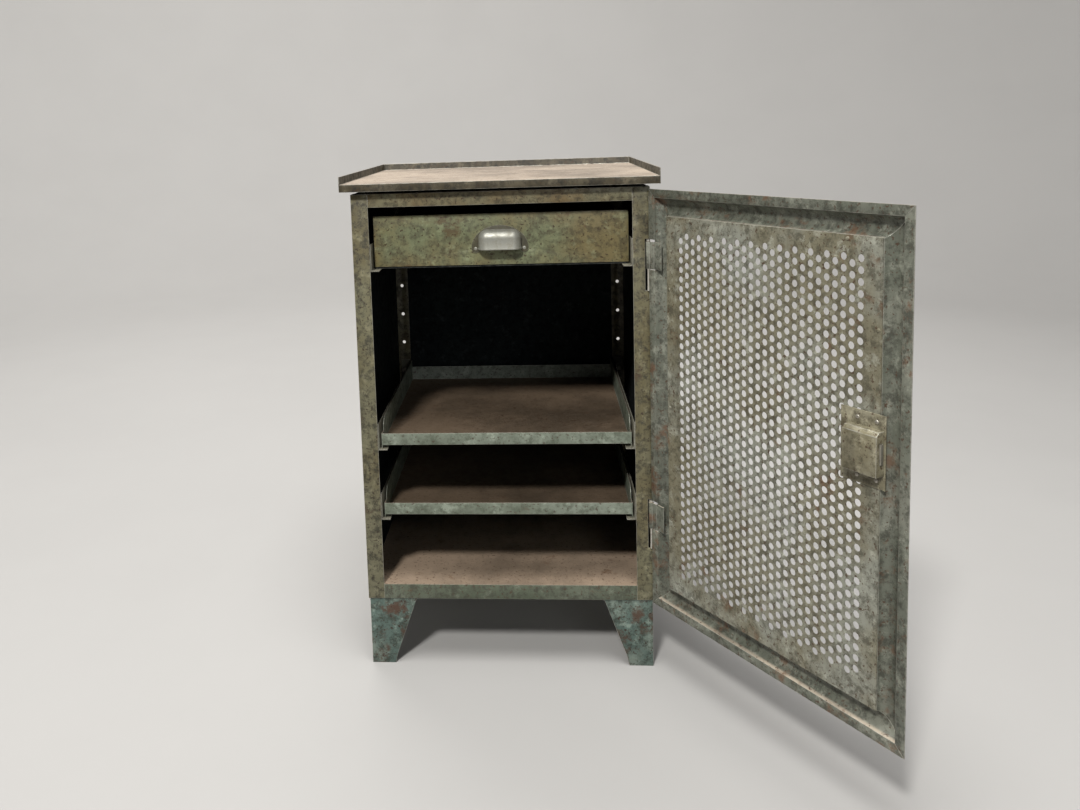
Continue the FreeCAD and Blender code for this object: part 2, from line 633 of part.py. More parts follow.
def make_tray(owner):
    """A shallow pull-out tray: low front lip, higher sides with a rounded shoulder, back wall."""
    rest = f"({runner_foot_top(owner)} + slide_gap)"
    half = TRAY_HALF
    body = doc.addObject("PartDesign::Body", f"{owner}_pan_body")
    floor = outline(sketch_on(body, f"{owner}_floor", "XY_Plane", "tray_skirt"), [
        (f"-{half}", "0"), (half, "0"), (half, TRAY_DEPTH), (f"-{half}", TRAY_DEPTH),
    ])
    pad(body, f"{owner}_floor_pad", floor, "tray_wall")
    for end, offset, height in (("front", "-tray_wall", "tray_lip"), ("back", f"-{TRAY_DEPTH}", "tray_back")):
        wall = outline(sketch_on(body, f"{owner}_{end}", "XZ_Plane", offset), [
            (f"-{half}", "tray_skirt"), (half, "tray_skirt"),
            (half, f"tray_skirt + {height}"), (f"-{half}", f"tray_skirt + {height}"),
        ])
        pad(body, f"{owner}_{end}_pad", wall, "tray_wall")
    for side, offset in (("left", f"-{half}"), ("right", f"{half} - tray_wall")):
        wall = sketch_on(body, f"{owner}_{side}", "YZ_Plane", offset)
        shouldered_wall(wall)
        pad(body, f"{owner}_{side}_pad", wall, "tray_wall")
    node(place(body, "0", f"{FRONT} + tray_recess", rest), f"{owner}_pan")


def shouldered_wall(sketch):
    """A side wall's outline: its top edge comes down to the front lip in a quarter round."""
    lip, top = "tray_skirt + tray_lip", "tray_skirt + tray_side"
    radius = "tray_side - tray_lip"
    corners = [
        ("0", "0"), (TRAY_DEPTH, "0"), (TRAY_DEPTH, top), (f"tray_shoulder + {radius}", top),
        ("tray_shoulder", lip), ("0", lip),
    ]
    points = [Vector(value(x), value(y), 0) for x, y in corners]
    middle = Vector(value(f"tray_shoulder + {radius}"), value(lip), 0)
    for n, here in enumerate(points):
        there = points[(n + 1) % len(points)]
        if n == 3:
            arc = Part.Circle(middle, Vector(0, 0, 1), value(radius))
            sketch.addGeometry(Part.ArcOfCircle(arc, math.pi / 2, math.pi))
        else:
            sketch.addGeometry(Part.LineSegment(here, there))
    for n in range(len(points)):
        sketch.addConstraint(Sketcher.Constraint("Coincident", (n - 1) % len(points), 2, n, 1))
        pin_point(sketch, n, 1, f"corner{n}", *corners[n])
    added = sketch.addConstraint(Sketcher.Constraint("Radius", 3, value(radius)))
    sketch.renameConstraint(added, "shoulder")
    sketch.setExpression("Constraints.shoulder", on_sheet(radius))


# ---------------------------------------------------------------- door

def swing():
    """Carries what is drawn on the closed door to where the open door stands."""
    axis = spot(AXIS_X, AXIS_Y, "0")
    return Placement(Vector(), Rotation(Vector(0, 0, 1), value("door_open_angle")), axis)


def on_door(feature, label):
    """Swings a piece drawn on the closed door open with it."""
    doc.recompute()
    feature.Placement = swing() * feature.Placement
    return node(feature, label)


def trough_profile(sketch):
    """A frame bar's section: outer flange, half-round trough, and a return under the panel.

    The sketch's X runs inwards over the door's face and its Y outwards from that face.
    """
    middle = "(frame_flange + frame_trough / 2)"
    last = f"{FRAME_WIDTH} + frame_return"
    levels = {"inner_out": "0", "outer_out": "door_wall", "inner_in": "door_wall", "outer_in": "2 * door_wall"}
    lift = value("trough_lift")

    def meets(level, radius, side):
        """Where an arc of the trough crosses a level, on one side of its middle."""
        rise = value(level) + lift
        return Vector(value(middle) + side * math.sqrt(value(radius) ** 2 - rise ** 2), value(level), 0)

    small = "(frame_trough / 2 + trough_spread)"
    large = "(frame_trough / 2 + trough_spread + door_wall)"
    centre = Vector(value(middle), -lift, 0)
    a, b = meets(levels["inner_out"], small, -1), meets(levels["inner_in"], small, 1)
    c, d = meets(levels["outer_in"], large, 1), meets(levels["outer_out"], large, -1)

    def arc(radius, first, second):
        start_angle = math.atan2(first.y - centre.y, first.x - centre.x)
        end_angle = math.atan2(second.y - centre.y, second.x - centre.x)
        return Part.ArcOfCircle(Part.Circle(centre, Vector(0, 0, 1), value(radius)), start_angle, end_angle)

    edge, far = Vector(0, 0, 0), value(last)
    geometry = [
        Part.LineSegment(edge, a),
        arc(small, b, a),
        Part.LineSegment(b, Vector(far, b.y, 0)),
        Part.LineSegment(Vector(far, b.y, 0), Vector(far, c.y, 0)),
        Part.LineSegment(Vector(far, c.y, 0), c),
        arc(large, c, d),
        Part.LineSegment(d, Vector(0, d.y, 0)),
        Part.LineSegment(Vector(0, d.y, 0), edge),
    ]
    for piece in geometry:
        sketch.addGeometry(piece)
    links = [(0, 2, 1, 2), (1, 1, 2, 1), (2, 2, 3, 1), (3, 2, 4, 1), (4, 2, 5, 1), (5, 2, 6, 1), (6, 2, 7, 1), (7, 2, 0, 1)]
    for first, first_end, second, second_end in links:
        sketch.addConstraint(Sketcher.Constraint("Coincident", first, first_end, second, second_end))
    pin_point(sketch, 0, 1, "edge", "0", "0")
    pin_point(sketch, 0, 2, "rim", y=levels["inner_out"])
    pin_point(sketch, 2, 1, "seat", y=levels["inner_in"])
    pin_point(sketch, 2, 2, "last", last, levels["inner_in"])
    pin_point(sketch, 3, 2, "under", last, levels["outer_in"])
    pin_point(sketch, 5, 1, "heel", y=levels["outer_in"])
    pin_point(sketch, 5, 2, "toe", y=levels["outer_out"])
    pin_point(sketch, 6, 2, "back", "0", levels["outer_out"])
    for arc_number, radius, name in ((1, small, "inside"), (5, large, "outside")):
        pin_point(sketch, arc_number, 3, f"{name}Centre", middle, "-trough_lift")
        added = sketch.addConstraint(Sketcher.Constraint("Radius", arc_number, value(radius)))
        sketch.renameConstraint(added, f"{name}Radius")
        sketch.setExpression(f"Constraints.{name}Radius", on_sheet(radius))


def frame_bar(name, length):
    """One frame bar along its own X, with both ends mitred."""
    body = doc.addObject("PartDesign::Body", f"{name}_bar")
    section = sketch_on(body, f"{name}_section", "YZ_Plane")
    trough_profile(section)
    pad(body, f"{name}_pad", section, length)
    width = f"({FRAME_WIDTH} + frame_return)"
    beyond = f"{width} + {OVER}"
    for end, corners in (
        ("start", [(f"-{OVER}", f"-{OVER}"), (width, width), (width, beyond), (f"-{OVER}", beyond)]),
        ("finish", [
            (f"{length} + {OVER}", f"-{OVER}"), (f"{length} - {width}", width),
            (f"{length} - {width}", beyond), (f"{length} + {OVER}", beyond),
        ]),
    ):
        mitre = outline(sketch_on(body, f"{name}_{end}", "XY_Plane"), corners)
        pocket_through(body, f"{name}_{end}_mitre", mitre)
    return body


def make_door_frame():
    """Two stiles and two rails, mitred at the corners, notched at the hinge edge for the knuckles."""
    near, far = DOOR_EDGE, f"({DOOR_EDGE} - {DOOR_WIDTH})"
    out, right, up = Vector(0, -1, 0), Vector(1, 0, 0), Vector(0, 0, 1)
    bars = {
        "door_hinge_stile": (DOOR_HEIGHT, near, DOOR_BOTTOM, up, -right),
        "door_lock_stile": (DOOR_HEIGHT, far, DOOR_TOP, -up, right),
        "door_top_rail": (DOOR_WIDTH, near, DOOR_TOP, -right, -up),
        "door_bottom_rail": (DOOR_WIDTH, far, DOOR_BOTTOM, right, up),
    }
    for name, (length, x, z, along, inwards) in bars.items():
        body = frame_bar(name, length)
        body.Placement = Placement(spot(x, DOOR_FACE, z), Rotation(along, inwards, out, "ZXY"))
        if name == "door_hinge_stile":
            tools = [make(hinge) for hinge in ("upper", "lower") for make in (leaf_notch, leaf_slit)]
            body = cut("door_hinge_stile_notched", body, tools)
        on_door(body, name)


def leaf_notch(hinge):
    """The notch in the hinge stile's flange that shows the leaf and its knuckle."""
    low = hinge_height(hinge)
    return box(
        f"{hinge}_leaf_notch", (f"{DOOR_EDGE} - frame_flange - leaf_slot", f"{DOOR_EDGE} + {OVER}"),
        (f"{DOOR_FACE} - door_wall", f"{DOOR_FACE} + {OVER}"),
        (f"{low} - knuckle_gap", f"{low} + knuckle_height + 2 * knuckle_gap + pin_head_height"),
    )


LEAF_STEP = f"({DOOR_EDGE} - frame_flange + leaf_back)"
LEAF_END = f"({DOOR_EDGE} - frame_flange - leaf_reach)"


def leaf_slit(hinge):
    """The slit in the trough's flank that the leaf is welded into."""
    low = hinge_height(hinge)
    face = f"({DOOR_FACE} - door_wall)"
    return box(
        f"{hinge}_leaf_slit", (LEAF_END, f"{DOOR_EDGE} + {OVER}"), (f"{face} - leaf_wall", face),
        (low, f"{low} + knuckle_height"),
    )


def make_perforated_panel():
    """The door's inner sheet, perforated with round holes in staggered columns."""
    left, right = value(PANEL_LEFT), value(PANEL_RIGHT)
    low, high = value(PANEL_LOW), value(PANEL_HIGH)
    face, wall = value(DOOR_FACE), value("door_wall")
    pitch, radius, margin = value("mesh_pitch"), value("mesh_hole") / 2, value("mesh_margin")
    step = pitch * math.sqrt(3) / 2
    columns = math.floor((right - left - 2 * margin) / step) + 1
    rows = math.floor((high - low - 2 * margin - pitch / 2) / pitch) + 1
    middle_x, middle_z = (left + right) / 2, (low + high) / 2 + value("mesh_rise")
    outward = Vector(0, 1, 0)

    def ring(x, z, size):
        return Part.Wire(Part.makeCircle(size, Vector(x, face - wall, z), outward))

    rings = []
    for column in range(columns):
        x = middle_x + ((columns - 1) / 2 - column) * step
        shift = pitch / 4 if column % 2 else -pitch / 4
        rings += [ring(x, middle_z + shift + ((rows - 1) / 2 - line) * pitch, radius) for line in range(rows)]
    rings += [ring(value(x), value(z), value("rivet_shank / 2")) for x, z in panel_rivets()]
    rings.append(ring(value(LOCK_X), value(LOCK_LEVEL), value("core_radius + core_gap")))
    corners = [Vector(left, face - wall, low), Vector(right, face - wall, low),
               Vector(right, face - wall, high), Vector(left, face - wall, high)]
    edge = Part.makePolygon(corners + corners[:1])
    sheet_face = Part.makeFace([edge] + rings, "Part::FaceMakerBullseye")
    panel = doc.addObject("Part::Feature", "perforated_sheet")
    panel.Shape = sheet_face.extrude(Vector(0, wall, 0))
    on_door(panel, "perforated_panel")


def panel_rivets():
    """Where rivets hold the perforated sheet to the frame's return, as pairs of expressions.

    The lock's own screws hold the sheet at the middle of the free side.
    """
    left, right = f"({PANEL_LEFT} + rivet_inset)", f"({PANEL_RIGHT} - rivet_inset)"
    low, high = f"({PANEL_LOW} + rivet_inset)", f"({PANEL_HIGH} - rivet_inset)"
    middle_x, middle_z = f"({PANEL_LEFT} + {PANEL_RIGHT}) / 2", f"({PANEL_LOW} + {PANEL_HIGH}) / 2"
    sides = [(right, 0), (right, 2), (right, -2), (left, 2), (left, -2)]
    return [(x, f"{middle_z} + {step} * door_rivet_pitch") for x, step in sides] + [
        (f"{middle_x} + {step} * door_rivet_pitch", z) for z in (low, high) for step in (-1.5, 0, 1.5)
    ]


def make_panel_rivets():
    """Round-head rivets round the perforated sheet."""
    parts = []
    back, top = f"{DOOR_FACE} - door_wall", f"{DOOR_FACE} + rivet_head_height"
    for n, (x, z) in enumerate(panel_rivets()):
        parts.append(rod(f"panel_rivet_shank{n}", "rivet_shank / 2", back, DOOR_FACE, x, z, "y"))
        parts.append(rod(f"panel_rivet_head{n}", "rivet_head / 2", DOOR_FACE, top, x, z, "y"))
    on_door(join("panel_rivet_group", parts), "panel_rivets")


# ---------------------------------------------------------------- hinges

def make_hinge(hinge):
    """A pin fixed across the post's notch, and the door's leaf rolled round it."""
    low = hinge_height(hinge)
    high = f"({low} + knuckle_height)"
    foot_low = f"({low} - pin_tail)"
    pin = join(f"{hinge}_pin_parts", [
        rod(f"{hinge}_pin_rod", "pin_radius", foot_low, f"{high} + knuckle_gap + pin_tip", AXIS_X, AXIS_Y),
        rod(f"{hinge}_pin_head", "pin_head_radius", f"{high} + knuckle_gap",
            f"{high} + knuckle_gap + pin_head_height", AXIS_X, AXIS_Y),
        box(f"{hinge}_pin_foot", (f"{AXIS_X} - pin_radius", f"{SIDE}"),
            (FRONT, f"{FRONT} + post_wall"), (foot_low, f"{foot_low} + pin_foot")),
    ])
    node(pin, f"{hinge}_hinge_pin")

    step = LEAF_STEP
    knuckle = rod(f"{hinge}_knuckle", "knuckle_radius", low, high, AXIS_X, AXIS_Y)
    inner, outer = DOOR_FACE, f"({DOOR_FACE} - door_wall)"
    leaf = join(f"{hinge}_leaf_blank", [
        knuckle,
        box(f"{hinge}_leaf_near", (step, AXIS_X), (outer, inner), (low, high)),
        box(f"{hinge}_leaf_joggle", (step, f"{step} + leaf_wall"), (f"{outer} - leaf_wall", inner), (low, high)),
        box(f"{hinge}_leaf_far", (LEAF_END, f"{step} + leaf_wall"), (f"{outer} - leaf_wall", outer), (low, high)),
    ])
    bore = rod(f"{hinge}_bore", "pin_radius + pin_gap", f"{low} - {OVER}", f"{high} + {OVER}", AXIS_X, AXIS_Y)
    on_door(cut(f"{hinge}_leaf_bored", leaf, [bore]), f"{hinge}_hinge_leaf")


# ---------------------------------------------------------------- rim lock

PLATE_FACE = f"({DOOR_FACE} + lock_plate_wall)"
BOLT_BACK = f"({PLATE_FACE} + bolt_level)"
BOLT_TIP = f"({LOCK_X} - lock_case_width / 2 - bolt_proud)"
BOLT_LOW = f"({LOCK_LEVEL} - bolt_height / 2)"
BOLT_HIGH = f"({LOCK_LEVEL} + bolt_height / 2)"
CORE_PIN_X = f"({LOCK_X} + bolt_throw / 2)"
ESCUTCHEON_BACK = f"({DOOR_FACE} - 2 * door_wall)"
CASE_LOW = f"({LOCK_LEVEL} - lock_case_height / 2)"
CASE_HIGH = f"({LOCK_LEVEL} + lock_case_height / 2)"


def make_lock_plate():
    """The lock's back plate, on the perforated sheet's inner face."""
    left = f"({LOCK_X} - lock_plate_width / 2 + lock_plate_shift)"
    plate = box(
        "plate_sheet", (left, f"{left} + lock_plate_width"), (DOOR_FACE, PLATE_FACE),
        (f"{LOCK_LEVEL} - lock_plate_height / 2", f"{LOCK_LEVEL} + lock_plate_height / 2"),
    )
    ends = (f"{DOOR_FACE} - {OVER}", f"{PLATE_FACE} + {OVER}")
    holes = [
        rod(f"plate_hole{n}", "lock_screw_shank / 2", *ends, x, z, "y")
        for n, (x, z) in enumerate(lock_screws())
    ]
    centre = rod("plate_centre", "core_radius + core_gap", *ends, LOCK_X, LOCK_LEVEL, "y")
    on_door(cut("plate_drilled", plate, holes + [centre]), "lock_plate")


def lock_screws():
    """The four screws above and below the lock's case."""
    return [
        (f"({LOCK_X} + {a} * lock_screw_spread_x / 2)", f"({LOCK_LEVEL} + {b} * lock_screw_spread_z / 2)")
        for a in (-1, 1) for b in (-1, 1)
    ]


def make_lock_screws():
    """Round heads on short shanks that end flush behind the plate."""
    parts = []
    top = f"{PLATE_FACE} + lock_screw_height"
    for n, (x, z) in enumerate(lock_screws()):
        parts += [
            rod(f"lock_shank{n}", "lock_screw_shank / 2", DOOR_FACE, PLATE_FACE, x, z, "y"),
            rod(f"lock_head{n}", "lock_screw_head / 2", PLATE_FACE, top, x, z, "y"),
        ]
    on_door(join("lock_screw_group", parts), "lock_screws")


def make_lock_case():
    """A pressed cover, bevelled along its top, with a window for the bolt."""
    half = "(lock_case_width / 2)"
    left, right = f"({LOCK_X} - {half})", f"({LOCK_X} + {half})"
    deep = f"({PLATE_FACE} + lock_case_depth)"
    block = box("case_block", (left, right), (PLATE_FACE, deep), (CASE_LOW, CASE_HIGH))
    doc.recompute()
    top_edge = max(
        (n for n, edge in enumerate(block.Shape.Edges, start=1) if edge.BoundBox.XLength > 1),
        key=lambda n: block.Shape.Edges[n - 1].CenterOfMass.y + block.Shape.Edges[n - 1].CenterOfMass.z,
    )
    bevel = value("lock_case_bevel")
    bevelled = doc.addObject("Part::Chamfer", "case_bevelled")
    bevelled.Base = block
    bevelled.Edges = [(top_edge, bevel, bevel)]
    inner = [f"{left} + lock_case_wall", f"{right} - lock_case_wall"]
    hollow = box(
        "case_hollow", inner, (f"{PLATE_FACE} - {OVER}", f"{deep} - lock_case_wall"),
        (f"{CASE_LOW} + lock_case_wall", f"{CASE_HIGH} - lock_case_bevel - lock_case_wall"),
    )
    window = box(
        "case_window", (f"{left} - {OVER}", f"{left} + lock_case_wall + {OVER}"),
        (f"{BOLT_BACK} - bolt_guide_gap", f"{BOLT_BACK} + bolt_thickness + bolt_guide_gap"),
        (f"{BOLT_LOW} - bolt_guide_gap", f"{BOLT_HIGH} + bolt_guide_gap"),
    )
    on_door(cut("case_hollowed", bevelled, [hollow, window]), "lock_case")


def make_bolt():
    """The sliding bolt, slotted for the core's driving pin."""
    blank = box(
        "bolt_blank", (BOLT_TIP, f"{BOLT_TIP} + bolt_length"),
        (BOLT_BACK, f"{BOLT_BACK} + bolt_thickness"), (BOLT_LOW, BOLT_HIGH),
    )
    half = "(core_pin_radius + slot_gap)"
    slot = box(
        "bolt_slot", (f"{CORE_PIN_X} - {half}", f"{CORE_PIN_X} + {half}"),
        (f"{BOLT_BACK} - {OVER}", f"{BOLT_BACK} + bolt_thickness + {OVER}"),
        (f"{LOCK_LEVEL} + bolt_throw / 2 - {half} - slot_gap", f"{BOLT_HIGH} + {OVER}"),
    )
    on_door(cut("bolt_slotted", blank, [slot]), "lock_bolt")


def make_core():
    """The turning core: a keyed barrel through the door, a disc, and the pin that drives the bolt."""
    outside = f"({ESCUTCHEON_BACK} - escutcheon_wall - core_proud)"
    disc = f"({PLATE_FACE} + core_disc_gap)"
    disc_top = f"({disc} + core_disc_height)"
    pin_z = f"({LOCK_LEVEL} + bolt_throw / 2)"
    core = join("core_parts", [
        rod("core_barrel", "core_radius", outside, disc_top, LOCK_X, LOCK_LEVEL, "y"),
        rod("core_disc", "core_disc_radius", disc, disc_top, LOCK_X, LOCK_LEVEL, "y"),
        rod("core_pin", "core_pin_radius", disc, f"{BOLT_BACK} + bolt_thickness", CORE_PIN_X, pin_z, "y"),
    ])
    keyway = box(
        "keyway", (f"{LOCK_X} - keyway_width / 2", f"{LOCK_X} + keyway_width / 2"),
        (f"{outside} - {OVER}", DOOR_FACE),
        (f"{LOCK_LEVEL} - keyway_height / 2", f"{LOCK_LEVEL} + keyway_height / 2"),
    )
    on_door(cut("core_keyed", core, [keyway]), "lock_core")


def make_escutcheon():
    """The round plate that the core turns in, laid over the frame's return on the outside."""
    front = f"{ESCUTCHEON_BACK} - escutcheon_wall"
    disc = rod("escutcheon_disc", "escutcheon_radius", front, ESCUTCHEON_BACK, LOCK_X, LOCK_LEVEL, "y")
    hole = rod("escutcheon_hole", "core_radius + core_gap", f"{front} - {OVER}",
               f"{ESCUTCHEON_BACK} + {OVER}", LOCK_X, LOCK_LEVEL, "y")
    on_door(cut("escutcheon_bored", disc, [hole]), "lock_escutcheon")


def write_nodes():
    """Checks every object and writes each piece to its own file."""
    doc.recompute()
    for item in doc.Objects:
        if {"Invalid", "Error"} & set(item.State):
            raise RuntimeError(f"{item.Name} failed: {item.State}")
    os.makedirs("parts", exist_ok=True)
    for item in NODES:
        shape = item.Shape
        if shape.isNull() or not shape.isValid() or not shape.Solids:
            raise RuntimeError(f"{item.Label} has no valid solid")
        shape.exportStep(f"parts/{item.Label}.step")
        print(f"{item.Label}: {len(shape.Solids)} solid(s), {shape.Volume:.0f} mm3")


def main():
    """Builds every piece and writes it."""
    make_posts()
    for corner in CORNERS:
        make_foot(corner)
    make_shell()
    make_rails()
    make_bottom_pan()
    make_worktop()
    for owner in RUNNERS:
        for side in ("left", "right"):
            make_runner(owner, side)
    make_runner_fasteners()
    make_back_rivets()
    make_drawer()
    make_cup_pull()
    make_pull_rivets()
    for owner in ("upper_tray", "lower_tray"):
        make_tray(owner)
    make_door_frame()
    make_perforated_panel()
    make_panel_rivets()
    for hinge in ("upper", "lower"):
        make_hinge(hinge)
    make_lock_plate()
    make_lock_case()
    make_lock_screws()
    make_escutcheon()
    make_bolt()
    make_core()
    write_nodes()


main()
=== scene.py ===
import json
import logging
import math
from dataclasses import dataclass, field
from enum import Enum

import bmesh
import bpy
from mathutils import Matrix, Vector
from mathutils.geometry import tessellate_polygon


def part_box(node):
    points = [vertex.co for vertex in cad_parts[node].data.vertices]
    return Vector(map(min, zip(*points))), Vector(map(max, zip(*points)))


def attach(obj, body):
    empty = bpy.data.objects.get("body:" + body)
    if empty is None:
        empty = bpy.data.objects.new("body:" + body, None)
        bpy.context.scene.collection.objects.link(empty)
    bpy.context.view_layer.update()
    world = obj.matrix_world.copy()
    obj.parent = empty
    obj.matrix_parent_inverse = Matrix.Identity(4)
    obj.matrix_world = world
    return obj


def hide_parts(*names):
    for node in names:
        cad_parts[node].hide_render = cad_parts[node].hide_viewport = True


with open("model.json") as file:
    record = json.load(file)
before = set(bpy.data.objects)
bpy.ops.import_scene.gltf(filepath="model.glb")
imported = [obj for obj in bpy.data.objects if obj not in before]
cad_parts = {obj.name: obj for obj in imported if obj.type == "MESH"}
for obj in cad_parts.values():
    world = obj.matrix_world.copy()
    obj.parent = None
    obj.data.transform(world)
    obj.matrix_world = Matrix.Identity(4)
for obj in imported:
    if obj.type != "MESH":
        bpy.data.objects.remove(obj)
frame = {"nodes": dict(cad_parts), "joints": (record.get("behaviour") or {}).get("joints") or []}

log = logging.getLogger("workshop_cabinet")
Colour = tuple[float, float, float]
Socket = bpy.types.NodeSocket

MM = 0.001
MERGE_DISTANCE = 0.002 * MM
FLAT_ANGLE = math.radians(1.5)
SHARP_ANGLE = math.radians(32)
SMOOTH_ANGLE = math.radians(24)
ROUNDING_STEPS = 2
DUST_LIES_BETWEEN = (0.86, 0.98)


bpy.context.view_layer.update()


# ---------------------------------------------------------------- finishes


class Graph:
    """Lays out the nodes of one material."""

    def __init__(self, name: str) -> None:
        """Starts a material with a plain shader on object coordinates.

        Args:
            name: the material's name.
        """
        self.material = bpy.data.materials.new(name)
        self.material.use_nodes = True
        self.tree = self.material.node_tree
        self.tree.nodes.clear()
        self.shader = self.tree.nodes.new("ShaderNodeBsdfPrincipled")
        output = self.tree.nodes.new("ShaderNodeOutputMaterial")
        self.tree.links.new(self.shader.outputs["BSDF"], output.inputs["Surface"])
        self.place = self.tree.nodes.new("ShaderNodeTexCoord").outputs["Object"]

    def join(self, source: Socket | float | Colour, target: Socket) -> None:
        """Feeds a socket from another one, or sets it to a plain value.

        Args:
            source: the socket or value.
            target: the socket that takes it.
        """
        if isinstance(source, bpy.types.NodeSocket):
            self.tree.links.new(source, target)
        elif isinstance(source, tuple):
            target.default_value = (*source, 1.0)
        else:
            target.default_value = source

    def noise(
        self,
        scale: float,
        detail: float = 4.0,
        roughness: float = 0.55,
        stretch: Colour = (1.0, 1.0, 1.0),
        shift: float = 0.0,
    ) -> Socket:
        """Cloudy noise over the object.

        Args:
            scale: how many features fit in a metre.
            detail: how many finer octaves are added.
            roughness: how strong the finer octaves are.
            stretch: how the pattern is squeezed along each axis.
            shift: moves the pattern, so that two layers differ.

        Returns:
            The noise value's socket.
        """
        mapping = self.tree.nodes.new("ShaderNodeMapping")
        mapping.inputs["Scale"].default_value = stretch
        mapping.inputs["Location"].default_value = (shift, shift * 0.7, shift * 1.3)
        self.tree.links.new(self.place, mapping.inputs["Vector"])
        texture = self.tree.nodes.new("ShaderNodeTexNoise")
        texture.inputs["Scale"].default_value = scale
        texture.inputs["Detail"].default_value = detail
        texture.inputs["Roughness"].default_value = roughness
        self.tree.links.new(mapping.outputs["Vector"], texture.inputs["Vector"])
        return texture.outputs[0]

    def band(self, source: Socket, low: float, high: float, top: float = 1.0) -> Socket:
        """A mask that rises from nothing at one value to its top at another.

        Args:
            source: the value that is masked.
            low: where the mask starts.
            high: where it reaches its top.
            top: its highest value.

        Returns:
            The mask's socket.
        """
        ramp = self.tree.nodes.new("ShaderNodeMapRange")
        ramp.interpolation_type = "SMOOTHSTEP"
        self.tree.links.new(source, ramp.inputs["Value"])
        ramp.inputs["From Min"].default_value = low
        ramp.inputs["From Max"].default_value = high
        ramp.inputs["To Min"].default_value = 0.0
        ramp.inputs["To Max"].default_value = top
        return ramp.outputs["Result"]

    def cloud(self, layer: "Cloud", shift: float = 0.0, top: float = 1.0) -> Socket:
        """A mask made from one layer of noise.

        Args:
            layer: the layer.
            shift: moves the pattern, so that two finishes differ.
            top: the mask's highest value.

        Returns:
            The mask's socket.
        """
        noise = self.noise(
            layer.scale, layer.detail, layer.roughness, layer.stretch, shift + layer.offset
        )
        return self.band(noise, layer.low, layer.high, top)

    def sum(self, operation: str, first: Socket | float, second: Socket | float) -> Socket:
        """One step of arithmetic.

        Args:
            operation: the name of the operation, such as MULTIPLY.
            first: the first term.
            second: the second term.

        Returns:
            The result's socket.
        """
        step = self.tree.nodes.new("ShaderNodeMath")
        step.operation = operation
        self.join(first, step.inputs[0])
        self.join(second, step.inputs[1])
        return step.outputs[0]

    def blend(
        self, amount: Socket | float, first: Socket | Colour, second: Socket | Colour
    ) -> Socket:
        """Mixes two colours.

        Args:
            amount: how much of the second colour shows.
            first: the colour below.
            second: the colour above.

        Returns:
            The mixed colour's socket.
        """
        mix = self.tree.nodes.new("ShaderNodeMix")
        mix.data_type = "RGBA"
        mix.clamp_factor = True
        self.join(amount, mix.inputs[0])
        self.join(first, mix.inputs[6])
        self.join(second, mix.inputs[7])
        return mix.outputs[2]

    def along(self, vector: Socket, axis: str, low: float, high: float) -> Socket:
        """A mask that rises with one part of a vector.

        Args:
            vector: the vector's socket.
            axis: X, Y or Z.
            low: where the mask starts.
            high: where it is whole.

        Returns:
            The mask's socket.
        """
        split = self.tree.nodes.new("ShaderNodeSeparateXYZ")
        self.tree.links.new(vector, split.inputs[0])
        return self.band(split.outputs[axis], low, high)

    def upward(self) -> Socket:
        """A mask of the faces that look up, where dust settles; on the door frame its bright tint is also
        painted light.
        """
        geometry = self.tree.nodes.new("ShaderNodeNewGeometry")
        return self.along(geometry.outputs["Normal"], "Z", *DUST_LIES_BETWEEN)

    def worn(self) -> Socket:
        """The mask of edges that softening marked as rubbed."""
        attribute = self.tree.nodes.new("ShaderNodeAttribute")
        attribute.attribute_name = "worn"
        return attribute.outputs["Fac"]

    def bump(self, height: Socket, distance: float, strength: float = 1.0) -> None:
        """Roughens the surface.

        Args:
            height: the socket that gives the height.
            distance: the height in metres that a value of one stands for.
            strength: how much of the effect is used.
        """
        bump = self.tree.nodes.new("ShaderNodeBump")
        bump.inputs["Distance"].default_value = distance
        bump.inputs["Strength"].default_value = strength
        self.tree.links.new(height, bump.inputs["Height"])
        self.tree.links.new(bump.outputs["Normal"], self.shader.inputs["Normal"])


@dataclass(frozen=True)
class Cloud:
    """One layer of cloudy noise and the values between which its mask rises."""

    scale: float
    detail: float
    roughness: float
    low: float
    high: float
    offset: float = 0.0
    stretch: Colour = (1.0, 1.0, 1.0)


MOTTLE = Cloud(70, 8, 0.78, 0.44, 0.62, offset=3)
PALE_SPOTS = Cloud(44, 8, 0.76, 0.52, 0.66, offset=9)
STREAKS = Cloud(42, 4, 0.6, 0.5, 0.78, offset=5, stretch=(1.0, 1.0, 0.07))
DUST_STAINS = Cloud(4.5, 7, 0.66, 0.4, 0.66, offset=2)
SPECKS = Cloud(210, 3, 0.6, 0.60, 0.66, offset=4)
RUBBED = Cloud(75, 5, 0.7, 0.30, 0.62, offset=11)
TARNISH = Cloud(90, 7, 0.7, 0.42, 0.7)
SCRATCHES = Cloud(120, 2, 0.5, 0.55, 0.75, stretch=(1.0, 1.0, 9.0))
SMUDGES = Cloud(1.6, 5, 0.6, 0.35, 0.7)


def times(colour: Colour, factor: float, lift: float = 0.0) -> Colour:
    """A colour made lighter or darker.

    Args:
        colour: the colour.
        factor: what each part is multiplied by.
        lift: what is added to each part.

    Returns:
        The new colour, no brighter than white.
    """
    return tuple(min(1.0, part * factor + lift) for part in colour)


